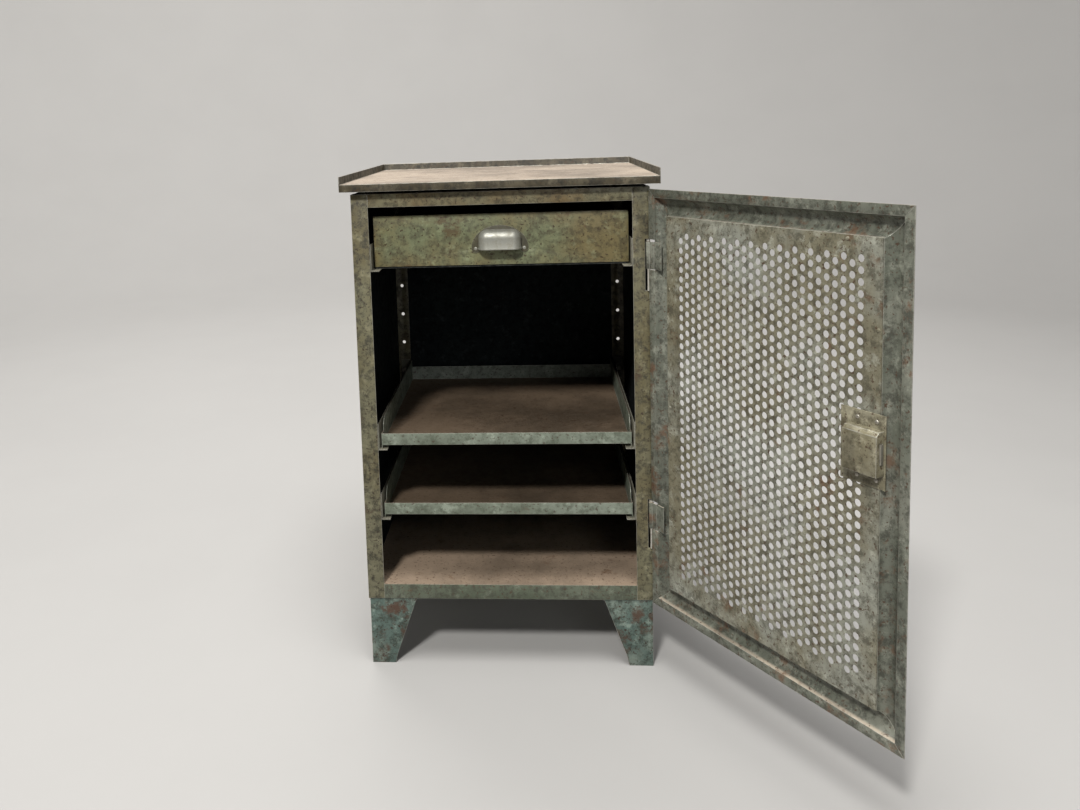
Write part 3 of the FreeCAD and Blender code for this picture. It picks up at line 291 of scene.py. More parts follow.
@dataclass(frozen=True)
class AgedPaint:
    """Old industrial paint: mottled, streaked, rusted through and rubbed at the edges."""

    name: str
    paint: Colour
    second: Colour
    grime: Colour = (0.035, 0.032, 0.022)
    rust: Colour = (0.10, 0.052, 0.026)
    bare: Colour = (0.42, 0.41, 0.36)
    dust: Colour = (0.17, 0.125, 0.085)
    rust_amount: float = 0.35
    rust_start: float = 0.70
    rust_spread: float = 0.22
    rust_edge: float = 0.10
    grime_amount: float = 0.55
    streak_amount: float = 0.35
    speck_amount: float = 0.5
    pale_amount: float = 0.42
    pale_gain: float = 1.9
    pale_lift: float = 0.025
    wear_amount: float = 0.8
    dust_amount: float = 0.0
    dust_shade: float = 0.52
    patch_scale: float = 6.0
    roughness: float = 0.5
    shine: float = 0.4
    grime_roughness: float = 0.22
    clean_gloss: float = 0.1
    bare_metallic: float = 0.75
    relief: float = 0.25 * MM
    rust_depth: float = 1.2
    wave_height: float = 2.4
    shift: float = 0.0

    def material(self) -> bpy.types.Material:
        """Builds the finish.

        Returns:
            The material.
        """
        graph = Graph(self.name)
        patches = graph.cloud(Cloud(self.patch_scale, 5, 0.6, 0.42, 0.62), self.shift)
        colour = graph.blend(patches, self.paint, self.second)
        mottle = graph.cloud(MOTTLE, self.shift)
        colour = graph.blend(graph.sum("MULTIPLY", mottle, self.grime_amount), colour, self.grime)
        pale = graph.cloud(PALE_SPOTS, self.shift)
        lighter = times(self.second, self.pale_gain, self.pale_lift)
        colour = graph.blend(graph.sum("MULTIPLY", pale, self.pale_amount), colour, lighter)
        streaks = graph.cloud(STREAKS, self.shift)
        colour = graph.blend(graph.sum("MULTIPLY", streaks, self.streak_amount), colour, self.grime)
        dust = graph.sum("MULTIPLY", graph.upward(), self.dust_amount)
        stains = graph.cloud(DUST_STAINS, self.shift)
        colour = graph.blend(dust, colour, graph.blend(stains, self.dust, times(self.dust, self.dust_shade)))
        rust_from = self.rust_start - self.rust_spread * self.rust_amount
        rust = graph.cloud(
            Cloud(19, 9, 0.74, rust_from, rust_from + self.rust_edge, offset=7),
            self.shift, 0.35 + 0.6 * self.rust_amount,
        )
        colour = graph.blend(rust, colour, self.rust)
        specks = graph.cloud(SPECKS, self.shift, self.speck_amount)
        colour = graph.blend(specks, colour, times(self.rust, 0.5))
        wear = graph.sum("MULTIPLY", graph.worn(), graph.cloud(RUBBED, self.shift, self.wear_amount))
        colour = graph.blend(wear, colour, self.bare)
        graph.join(colour, graph.shader.inputs["Base Color"])
        rough = graph.sum("MULTIPLY_ADD", mottle, self.grime_roughness)
        rough.node.inputs[2].default_value = self.roughness - self.clean_gloss
        graph.join(rough, graph.shader.inputs["Roughness"])
        graph.join(graph.sum("MULTIPLY", wear, self.bare_metallic), graph.shader.inputs["Metallic"])
        graph.shader.inputs["Specular IOR Level"].default_value = self.shine
        pits = graph.sum("MULTIPLY", rust, -self.rust_depth)
        grain = graph.sum("ADD", graph.noise(320, 4, 0.6, shift=self.shift), pits)
        waves = graph.sum("MULTIPLY", graph.noise(16, 3, 0.5, shift=self.shift + 6), self.wave_height)
        graph.bump(graph.sum("ADD", grain, waves), self.relief, 0.6)
        return graph.material


@dataclass(frozen=True)
class BareMetal:
    """Worn metal without paint."""

    name: str
    colour: Colour
    stain: Colour
    roughness: float = 0.38
    metallic: float = 0.85
    stain_amount: float = 0.5
    scratch_amount: float = 0.25
    stain_roughness: float = 0.4
    relief: float = 0.12 * MM

    def material(self) -> bpy.types.Material:
        """Builds the finish.

        Returns:
            The material.
        """
        graph = Graph(self.name)
        stains = graph.cloud(TARNISH, top=self.stain_amount)
        colour = graph.blend(stains, self.colour, self.stain)
        scratches = graph.cloud(SCRATCHES, top=self.scratch_amount)
        colour = graph.blend(scratches, colour, times(self.colour, 1.4))
        graph.join(colour, graph.shader.inputs["Base Color"])
        graph.shader.inputs["Metallic"].default_value = self.metallic
        rough = graph.sum("MULTIPLY_ADD", stains, self.stain_roughness)
        rough.node.inputs[2].default_value = self.roughness
        graph.join(rough, graph.shader.inputs["Roughness"])
        graph.bump(graph.noise(260, 4, 0.6), self.relief, 0.5)
        return graph.material


@dataclass(frozen=True)
class StageFinish:
    """The plain floor and backdrop, pale behind the cabinet and dim in front of it."""

    name: str = "studio_floor"
    colour: Colour = (0.35, 0.343, 0.333)
    dim: Colour = (0.05, 0.05, 0.05)
    roughness: float = 0.8
    smudge_amount: float = 0.35
    pale_to: float = -1.9
    dim_from: float = -2.7

    def material(self) -> bpy.types.Material:
        """Builds the finish.

        Returns:
            The material.
        """
        graph = Graph(self.name)
        colour = graph.blend(
            graph.cloud(SMUDGES, top=self.smudge_amount), self.colour, times(self.colour, 0.93)
        )
        pale = graph.along(graph.place, "Y", self.dim_from, self.pale_to)
        graph.join(graph.blend(pale, self.dim, colour), graph.shader.inputs["Base Color"])
        graph.shader.inputs["Roughness"].default_value = self.roughness
        return graph.material


class Finish(Enum):
    """The finishes of the cabinet, each built once."""

    CARCASS = AgedPaint(
        "aged_carcass_paint", (0.100, 0.086, 0.044), (0.128, 0.120, 0.072), rust=(0.045, 0.024, 0.012),
        rust_amount=0.6, grime=(0.016, 0.015, 0.009), grime_amount=0.8, speck_amount=0.9,
    )
    # Near-black paint for the inner faces, side rails, bearers and drawer box: painted shade for the dark
    # inside of the cabinet, with rust and grime noise on top.
    INSIDE = AgedPaint(
        "inside_paint_darkened_as_painted_shade", (0.006, 0.009, 0.010), (0.010, 0.014, 0.014), rust_amount=0.1,
        rust=(0.02, 0.012, 0.008), grime=(0.003, 0.003, 0.003), streak_amount=0.2, wear_amount=0.3,
        roughness=0.85, shine=0.15, shift=21.0,
    )
    RAIL = AgedPaint(
        "aged_rail_paint", (0.150, 0.108, 0.050), (0.150, 0.138, 0.082), rust_amount=0.45,
        rust=(0.075, 0.038, 0.018), grime=(0.028, 0.024, 0.013), grime_amount=0.75, speck_amount=0.9,
        shift=31.0,
    )
    SHELF = AgedPaint(
        "aged_shelf_paint", (0.068, 0.082, 0.054), (0.098, 0.112, 0.080), dust_amount=0.96,
        dust=(0.26, 0.195, 0.14), rust_amount=0.5, speck_amount=0.8, grime_amount=0.75, shift=41.0,
    )
    FOOT = AgedPaint(
        "aged_foot_paint", (0.070, 0.105, 0.090), (0.145, 0.180, 0.150), rust_amount=0.85,
        rust=(0.055, 0.025, 0.013), speck_amount=1.0, grime_amount=0.85, grime=(0.022, 0.028, 0.020),
        patch_scale=16.0, shift=51.0,
    )
    WORKTOP = AgedPaint(
        "aged_worktop_paint", (0.045, 0.036, 0.020), (0.085, 0.072, 0.046), dust_amount=1.0,
        dust=(0.30, 0.245, 0.19), streak_amount=0.9, grime_amount=0.9, grime=(0.012, 0.011, 0.007),
        rust_amount=0.45, speck_amount=0.8, patch_scale=22.0, shift=61.0,
    )
    TRAY = AgedPaint(
        "aged_tray_paint", (0.120, 0.138, 0.104), (0.165, 0.188, 0.150), dust_amount=0.97,
        rust_amount=0.4, dust=(0.125, 0.088, 0.058), rust=(0.080, 0.042, 0.022),
        grime=(0.05, 0.06, 0.038), grime_amount=0.7, speck_amount=0.8, streak_amount=0.2, shift=71.0,
    )
    RUNNER = AgedPaint(
        "aged_runner_paint", (0.10, 0.095, 0.07), (0.16, 0.155, 0.12), wear_amount=1.0, shift=81.0
    )
    DRAWER = AgedPaint(
        "aged_drawer_paint", (0.150, 0.122, 0.054), (0.140, 0.155, 0.084), rust_amount=0.6,
        rust=(0.075, 0.040, 0.016), speck_amount=1.0, grime=(0.040, 0.034, 0.017), grime_amount=0.7,
        streak_amount=0.25, patch_scale=7.0, shift=91.0,
    )
    DOOR = AgedPaint(
        "aged_door_paint", (0.165, 0.152, 0.102), (0.230, 0.235, 0.195), rust_amount=0.6,
        rust=(0.110, 0.058, 0.028), grime=(0.040, 0.036, 0.022), grime_amount=0.7, speck_amount=0.9,
        shift=101.0,
    )
    # The bright tan on its upward faces is partly dust and partly painted light: the lit look of the troughs
    # that face up.
    FRAME = AgedPaint(
        "door_frame_paint_with_dust_and_painted_light", (0.110, 0.118, 0.092), (0.170, 0.174, 0.140), rust_amount=0.75,
        rust=(0.115, 0.062, 0.034), grime=(0.026, 0.026, 0.018), grime_amount=0.75, speck_amount=0.9,
        streak_amount=0.4, patch_scale=5.0, dust_amount=0.9, dust=(0.42, 0.36, 0.28), shift=111.0,
    )
    LOCK = AgedPaint(
        "aged_lock_paint", (0.165, 0.148, 0.092), (0.225, 0.208, 0.145), rust_amount=0.45,
        grime=(0.05, 0.042, 0.024), grime_amount=0.7, speck_amount=0.9, patch_scale=30.0, shift=121.0,
    )
    PULL = BareMetal("pull_metal", (0.27, 0.27, 0.235), (0.15, 0.135, 0.095), 0.42, 0.45)
    # Darker than the drawer as painted shade for the dark outline round the cup; its full edge wear is
    # partly rubbing and partly a painted highlight on the rim.
    SHADED_FLANGE = AgedPaint(
        "flange_paint_with_painted_shade_and_highlight", (0.060, 0.055, 0.032), (0.085, 0.080, 0.050), wear_amount=1.0, shift=131.0
    )
    FASTENER = BareMetal("fastener_metal", (0.42, 0.40, 0.35), (0.14, 0.10, 0.06), 0.42, 0.8)
    PIN = BareMetal("pin_metal", (0.62, 0.60, 0.54), (0.25, 0.2, 0.14), 0.3, 0.85)
    BOLT = BareMetal("bolt_metal", (0.45, 0.43, 0.37), (0.18, 0.14, 0.09), 0.38, 0.85)
    BRASS = BareMetal("aged_brass", (0.55, 0.42, 0.22), (0.22, 0.16, 0.08), 0.35, 0.9)
    STAGE = StageFinish()

    def material(self) -> bpy.types.Material:
        """Gives the finish's material, which is built the first time it is asked for.

        Returns:
            The material.
        """
        return bpy.data.materials.get(self.value.name) or self.value.material()


# ---------------------------------------------------------------- shared work on meshes


def link_object(name: str, mesh: bpy.types.Mesh) -> bpy.types.Object:
    """Puts a mesh in the scene under a name.

    Args:
        name: the object's name.
        mesh: its mesh.

    Returns:
        The object.
    """
    made = bpy.data.objects.new(name, mesh)
    bpy.context.scene.collection.objects.link(made)
    return made


def shade(bm: bmesh.types.BMesh) -> None:
    """Shades curves smooth and keeps folds crisp.

    Args:
        bm: the mesh.
    """
    for face in bm.faces:
        face.smooth = True
    for edge in bm.edges:
        edge.smooth = len(edge.link_faces) == 2 and edge.calc_face_angle(math.pi) < SMOOTH_ANGLE


def softened(node: str, width: float) -> bpy.types.Mesh:
    """A copy of a CAD node with its sharp edges rounded and marked as rubbed.

    Args:
        node: the CAD node.
        width: how far the rounding runs over each face, in metres.

    Returns:
        The new mesh.
    """
    mesh = frame["nodes"][node].data.copy()
    mesh.name = f"{node}_finished"
    mesh.materials.clear()
    bm = bmesh.new()
    bm.from_mesh(mesh)
    bmesh.ops.remove_doubles(bm, verts=bm.verts, dist=MERGE_DISTANCE)
    bmesh.ops.dissolve_limit(bm, angle_limit=FLAT_ANGLE, verts=bm.verts, edges=bm.edges)
    layer = bm.faces.layers.float.new("worn")
    sharp = [e for e in bm.edges if len(e.link_faces) == 2 and e.calc_face_angle(0.0) > SHARP_ANGLE]
    made = bmesh.ops.bevel(
        bm, geom=sharp, offset=width, offset_type="OFFSET", segments=ROUNDING_STEPS, profile=0.5,
        affect="EDGES", clamp_overlap=True,
    )
    for face in made["faces"]:
        face[layer] = 1.0
    shade(bm)
    bm.to_mesh(mesh)
    bm.free()
    return mesh


@dataclass
class SubAssembly:
    """A group of pieces that ride on one body."""

    body: str
    rounding: float = 0.35 * MM

    def dress(
        self, node: str, finish: Finish, slot: str, rounding: float | None = None
    ) -> bpy.types.Object:
        """Makes the finished piece that stands for a CAD node.

        Args:
            node: the CAD node.
            finish: what it is finished in.
            slot: the record's material slot.
            rounding: how far its edges are rounded, where that differs from the group's.

        Returns:
            The finished piece.
        """
        mesh = softened(node, self.rounding if rounding is None else rounding)
        mesh.materials.append(finish.material())
        return self.settle(link_object(f"{node}_finished", mesh), slot, node)

    def settle(self, piece: bpy.types.Object, slot: str, *nodes: str) -> bpy.types.Object:
        """Makes a piece ride on the group's body and stand for CAD nodes.

        Args:
            piece: the finished piece.
            slot: the record's material slot; not used.
            nodes: the CAD nodes that it stands for.

        Returns:
            The piece.
        """
        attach(piece, self.body)
        if nodes:
            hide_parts(*nodes)
        log.info("%s rides on %s", piece.name, self.body)
        return piece


# ---------------------------------------------------------------- geometry nodes


class TreeBuilder:
    """Builds one geometry nodes tree with named inputs."""

    def __init__(self, name: str) -> None:
        """Starts a tree that takes and gives a mesh.

        Args:
            name: the tree's name.
        """
        self.tree = bpy.data.node_groups.new(name, "GeometryNodeTree")
        self.tree.interface.new_socket("Geometry", in_out="INPUT", socket_type="NodeSocketGeometry")
        self.tree.interface.new_socket("Geometry", in_out="OUTPUT", socket_type="NodeSocketGeometry")
        self.source = self.tree.nodes.new("NodeGroupInput")
        self.target = self.tree.nodes.new("NodeGroupOutput")
        self.values: dict[str, float | int] = {}

    def size(self, name: str, value: float | int) -> Socket:
        """Adds a named input.

        Args:
            name: the input's name.
            value: what it is set to on the modifier.

        Returns:
            The socket inside the tree.
        """
        kind = "NodeSocketInt" if isinstance(value, int) else "NodeSocketFloat"
        item = self.tree.interface.new_socket(name, in_out="INPUT", socket_type=kind)
        self.values[item.identifier] = value
        return self.source.outputs[name]

    def node(self, kind: str, inputs: dict | None = None, **settings: object) -> bpy.types.Node:
        """Adds a node.

        Args:
            kind: its type.
            inputs: what each input is fed from or set to.
            settings: its other properties.

        Returns:
            The node.
        """
        made = self.tree.nodes.new(kind)
        for name, value in settings.items():
            setattr(made, name, value)
        for key, value in (inputs or {}).items():
            socket = made.inputs[key]
            if isinstance(value, bpy.types.NodeSocket):
                self.tree.links.new(value, socket)
            else:
                socket.default_value = value
        return made

    def sum(self, operation: str, first: Socket | float, second: Socket | float = 0.0) -> Socket:
        """One step of arithmetic.

        Args:
            operation: the operation's name.
            first: the first term.
            second: the second term.

        Returns:
            The result's socket.
        """
        return self.node("ShaderNodeMath", {0: first, 1: second}, operation=operation).outputs[0]

    def finish(self, geometry: Socket, material: bpy.types.Material) -> None:
        """Ends the tree in realised geometry with a material.

        Args:
            geometry: the geometry that is given out.
            material: the material that it gets.
        """
        real = self.node("GeometryNodeRealizeInstances", {"Geometry": geometry})
        dressed = self.node(
            "GeometryNodeSetMaterial", {"Geometry": real.outputs[0], "Material": material}
        )
        self.tree.links.new(dressed.outputs[0], self.target.inputs[0])

    def result(
        self, name: str, mesh: bpy.types.Mesh, helpers: list[bpy.types.Object]
    ) -> bpy.types.Object:
        """Runs the tree on a mesh and keeps what it makes as a plain mesh.

        Args:
            name: the finished object's name.
            mesh: the mesh that the tree starts from.
            helpers: objects that only the tree needs, removed afterwards.

        Returns:
            An object with the plain mesh and no modifier.
        """
        carrier = link_object(f"{name}_carrier", mesh)
        modifier = carrier.modifiers.new(name, "NODES")
        modifier.node_group = self.tree
        for identifier, value in self.values.items():
            modifier[identifier] = value
        graph = bpy.context.evaluated_depsgraph_get()
        plain = bpy.data.meshes.new_from_object(carrier.evaluated_get(graph), depsgraph=graph)
        plain.name = name
        for spare in [carrier, *helpers]:
            bpy.data.objects.remove(spare)
        return link_object(name, plain)


class Head(Enum):
    """The kinds of fastener head."""

    DOMED = "domed"
    SLOTTED = "slotted"


@dataclass(frozen=True)
class FastenerRow:
    """Fasteners of one kind and size, each at its own place, all facing one way."""

    name: str
    places: list[Vector]
    facing: Vector
    radius: float
    rise: float
    head: Head = Head.DOMED
    seed: int = 7
    slot_length: float = 2.4
    slot_width: float = 0.26
    slot_level: float = 0.98

    def build(self, material: bpy.types.Material) -> bpy.types.Object:
        """Sets a head at each place.

        Args:
            material: the heads' material.

        Returns:
            One object with every head.
        """
        mesh = bpy.data.meshes.new(f"{self.name}_places")
        mesh.from_pydata([tuple(p) for p in self.places], [], [])
        tree = TreeBuilder(f"{self.name}_tree")
        radius = tree.size("Head Radius", float(self.radius))
        rise = tree.size("Head Rise", float(self.rise))
        shape = self.shape(tree, radius, rise)
        turn = self.facing.to_track_quat("Z", "Y").to_euler()
        points = tree.node("GeometryNodeMeshToPoints", {"Mesh": tree.source.outputs["Geometry"]})
        spin = tree.node(
            "FunctionNodeRandomValue",
            {"Min": -math.pi, "Max": math.pi, "Seed": self.seed}, data_type="FLOAT",
        )
        angle = next(s for s in spin.outputs if s.type == "VALUE" and s.enabled)
        twist = tree.node("ShaderNodeCombineXYZ", {"Z": angle})
        copies = tree.node(
            "GeometryNodeInstanceOnPoints",
            {"Points": points.outputs[0], "Instance": shape, "Rotation": tuple(turn)},
        )
        local = tree.node(
            "GeometryNodeRotateInstances",
            {"Instances": copies.outputs[0], "Rotation": twist.outputs[0], "Local Space": True},
        )
        tree.finish(local.outputs[0], material)
        return tree.result(self.name, mesh, [])

    def shape(self, tree: TreeBuilder, radius: Socket, rise: Socket) -> Socket:
        """One head about the origin, rising along Z.

        Args:
            tree: the tree that it is built in.
            radius: the head's radius.
            rise: how far it stands proud.

        Returns:
            The head's geometry.
        """
        ball = tree.node("GeometryNodeMeshUVSphere", {"Segments": 20, "Rings": 10, "Radius": 1.0})
        scale = tree.node("ShaderNodeCombineXYZ", {"X": radius, "Y": radius, "Z": rise})
        dome = tree.node(
            "GeometryNodeTransform", {"Geometry": ball.outputs["Mesh"], "Scale": scale.outputs[0]}
        ).outputs[0]
        if self.head is Head.DOMED:
            return dome
        length = tree.sum("MULTIPLY", radius, self.slot_length)
        width = tree.sum("MULTIPLY", radius, self.slot_width)
        slot_size = tree.node("ShaderNodeCombineXYZ", {"X": length, "Y": width, "Z": rise})
        slot = tree.node("GeometryNodeMeshCube", {"Size": slot_size.outputs[0]})
        level = tree.sum("MULTIPLY", rise, self.slot_level)
        raised = tree.node("ShaderNodeCombineXYZ", {"Z": level})
        lifted = tree.node(
            "GeometryNodeTransform",
            {"Geometry": slot.outputs["Mesh"], "Translation": raised.outputs[0]},
        )
        cut = tree.node("GeometryNodeMeshBoolean", operation="DIFFERENCE")
        tree.tree.links.new(dome, cut.inputs[0])
        tree.tree.links.new(lifted.outputs[0], cut.inputs[1])
        return cut.outputs[0]


# ---------------------------------------------------------------- the door's axes


@dataclass(frozen=True)
class DoorFrameOfReference:
    """Turns places on the closed door into places on the door as it stands open."""

    pin: Vector
    angle: float

    def turn(self) -> Matrix:
        """The movement from closed to open."""
        return (
            Matrix.Translation(self.pin)
            @ Matrix.Rotation(self.angle, 4, "Z")
            @ Matrix.Translation(-self.pin)
        )

    def place(self, x: float, y: float, z: float) -> Vector:
        """Where a point of the closed door stands when it is open.

        Args:
            x: how far right it is on the closed door, in metres.
            y: how far back.
            z: how high.

        Returns:
            The place on the open door.
        """
        return self.turn() @ Vector((x, y, z))

    def closed_box(self, node: str) -> tuple[Vector, Vector]:
        """The lowest and highest corner of a door piece as it stands on the closed door.

        Args:
            node: the CAD node.

        Returns:
            The two corners.
        """
        back = self.turn().inverted()
        points = [back @ vertex.co for vertex in frame["nodes"][node].data.vertices]
        return tuple(Vector([pick(p[axis] for p in points) for axis in range(3)]) for pick in (min, max))


def read_joint(name: str) -> dict:
    """One joint as the frame states it.

    Args:
        name: the joint's name.

    Returns:
        The joint's entry.
    """
    return next(joint for joint in frame["joints"] if joint["name"] == name)


def read_door_axes() -> DoorFrameOfReference:
    """Reads the hinge pin and the rest angle from the hinge that the frame states.

    Returns:
        The door's axes.
    """
    joint = read_joint("door_hinge")
    x, y, _ = joint["pos_m"]
    return DoorFrameOfReference(Vector((x, y, 0.0)), math.radians(-joint["range_deg"][0]))


DOOR_AXES = read_door_axes()
LOCK_CENTRE = DOOR_AXES.turn().inverted() @ Vector(read_joint("core_turn")["pos_m"])


# ---------------------------------------------------------------- sub-assemblies


@dataclass
class Carcass(SubAssembly):
    """Posts, panels, rails and the bottom pan."""

    rounding: float = 0.5 * MM
    panel_rounding: float = 0.2 * MM
    bearer_rounding: float = 0.3 * MM
    facing_inwards: float = 0.7

    def build(self) -> None:
        """Dresses every piece of the carcass."""
        for corner in ("front_left", "front_right", "rear_left", "rear_right"):
            self.dress(f"{corner}_post", Finish.CARCASS, "carcass_paint")
        for rail in ("front_top_rail", "rear_top_rail"):
            self.dress(rail, Finish.RAIL, "carcass_paint")
        # The side rails and the worktop bearers take the near-black inside paint: painted shade.
        for rail in ("left_top_rail", "right_top_rail"):
            self.dress(rail, Finish.INSIDE, "carcass_paint")
        self.dress("bottom_pan", Finish.SHELF, "shelf_paint")
        for panel in ("left_side_panel", "right_side_panel", "back_panel"):
            self.dress_panel(panel)
        for side in ("left", "right"):
            self.dress(
                f"{side}_worktop_bearer", Finish.INSIDE, "carcass_paint", self.bearer_rounding
            )

    def dress_panel(self, panel: str) -> None:
        """Dresses a panel with painted shade inside, a near-black copy of its paint, and like the posts
        outside.

        Args:
            panel: the CAD node.
        """
        piece = self.dress(panel, Finish.CARCASS, "carcass_paint", self.panel_rounding)
        piece.data.materials.append(Finish.INSIDE.material())
        low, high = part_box(panel)
        middle = (low + high) / 2
        inwards = Vector((-middle.x, -middle.y, 0.0)).normalized()
        # Faces that look into the cabinet take the second slot, the painted shade.
        for face in piece.data.polygons:
            if face.normal.dot(inwards) > self.facing_inwards:
                face.material_index = 1


@dataclass
class Feet(SubAssembly):
    """The four tapered corner feet."""

    rounding: float = 0.5 * MM

    def build(self) -> None:
        """Dresses every foot."""
        for corner in ("front_left", "front_right", "rear_left", "rear_right"):
            self.dress(f"{corner}_foot", Finish.FOOT, "foot_paint")


@dataclass
class Worktop(SubAssembly):
    """The shallow tray on top."""

    rounding: float = 0.6 * MM

    def build(self) -> None:
        """Dresses the worktop."""
        self.dress("worktop", Finish.WORKTOP, "worktop_steel")


@dataclass
class Runners(SubAssembly):
    """The angle runners, with their screws and nuts."""

    screw_rounding: float = 0.3 * MM
    nut_rounding: float = 0.25 * MM

    def build(self) -> None:
        """Dresses the runners, their screws and their nuts."""
        for owner in ("drawer", "upper_tray", "lower_tray"):
            for side in ("left", "right"):
                self.dress(f"{side}_{owner}_runner", Finish.RUNNER, "runner_paint")
        self.dress("runner_nuts", Finish.FASTENER, "fastener_steel", self.nut_rounding)
        self.dress("runner_screws", Finish.FASTENER, "fastener_steel", self.screw_rounding)


@dataclass
class Drawer(SubAssembly):
    """The drawer with its face, box and cup pull."""

    rivet_seat: float = 0.8 * MM
    rivet_rise: float = 0.9 * MM
    flange_depth: float = 1.6 * MM
    box_rounding: float = 0.25 * MM
    pull_rounding: float = 0.3 * MM

    def build(self) -> None:
        """Dresses the drawer."""
        self.dress("drawer_face", Finish.DRAWER, "drawer_paint")
        # The box takes the near-black inside paint: painted shade inside the cabinet.
        self.dress("drawer_box", Finish.INSIDE, "drawer_paint", self.box_rounding)
        self.dress_pull()
        low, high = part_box("pull_rivets")
        radius = (high.z - low.z) / 2
        face = low.y + self.rivet_seat
        level = (low.z + high.z) / 2
        places = [Vector((x, face, level)) for x in (low.x + radius, high.x - radius)]
        rivets = FastenerRow("pull_rivet_heads", places, Vector((0, -1, 0)), radius, self.rivet_rise)
        self.settle(rivets.build(Finish.PULL.material()), "fastener_steel", "pull_rivets")

    def dress_pull(self) -> None:
        """Dresses the pull: a bright rubbed cup on a flange painted darker than the drawer as painted shade,
        its rubbed edges partly a painted highlight.
        """
        pull = self.dress("cup_pull", Finish.PULL, "pull_steel", self.pull_rounding)
        # Faces next to the drawer face take the darker flange paint: painted shade.
        pull.data.materials.append(Finish.SHADED_FLANGE.material())
        _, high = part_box("cup_pull")
        for face in pull.data.polygons:
            if face.center.y > high.y - self.flange_depth:
                face.material_index = 1


@dataclass
class Tray(SubAssembly):
    """A pull-out tray."""

    node: str = ""

    def build(self) -> None:
        """Dresses the tray."""
        self.dress(self.node, Finish.TRAY, "tray_paint")


@dataclass
class BackRivets(SubAssembly):
    """The rivets that hold the back panel."""

    rows: int = 5
    radius: float = 3.0 * MM
    rise: float = 1.2 * MM

    def build(self) -> None:
        """Sets the domed heads in two columns."""
        low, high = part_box("back_panel_rivets")
        _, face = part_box("back_panel")
        places = []
        for x in (low.x + self.radius, high.x - self.radius):
            for row in range(self.rows):
                share = row / (self.rows - 1)
                z = low.z + self.radius + share * (high.z - low.z - 2 * self.radius)
                places.append(Vector((x, face.y, z)))
        row = FastenerRow("back_rivet_heads", places, Vector((0, 1, 0)), self.radius, self.rise)
        self.settle(row.build(Finish.FASTENER.material()), "fastener_steel", "back_panel_rivets")


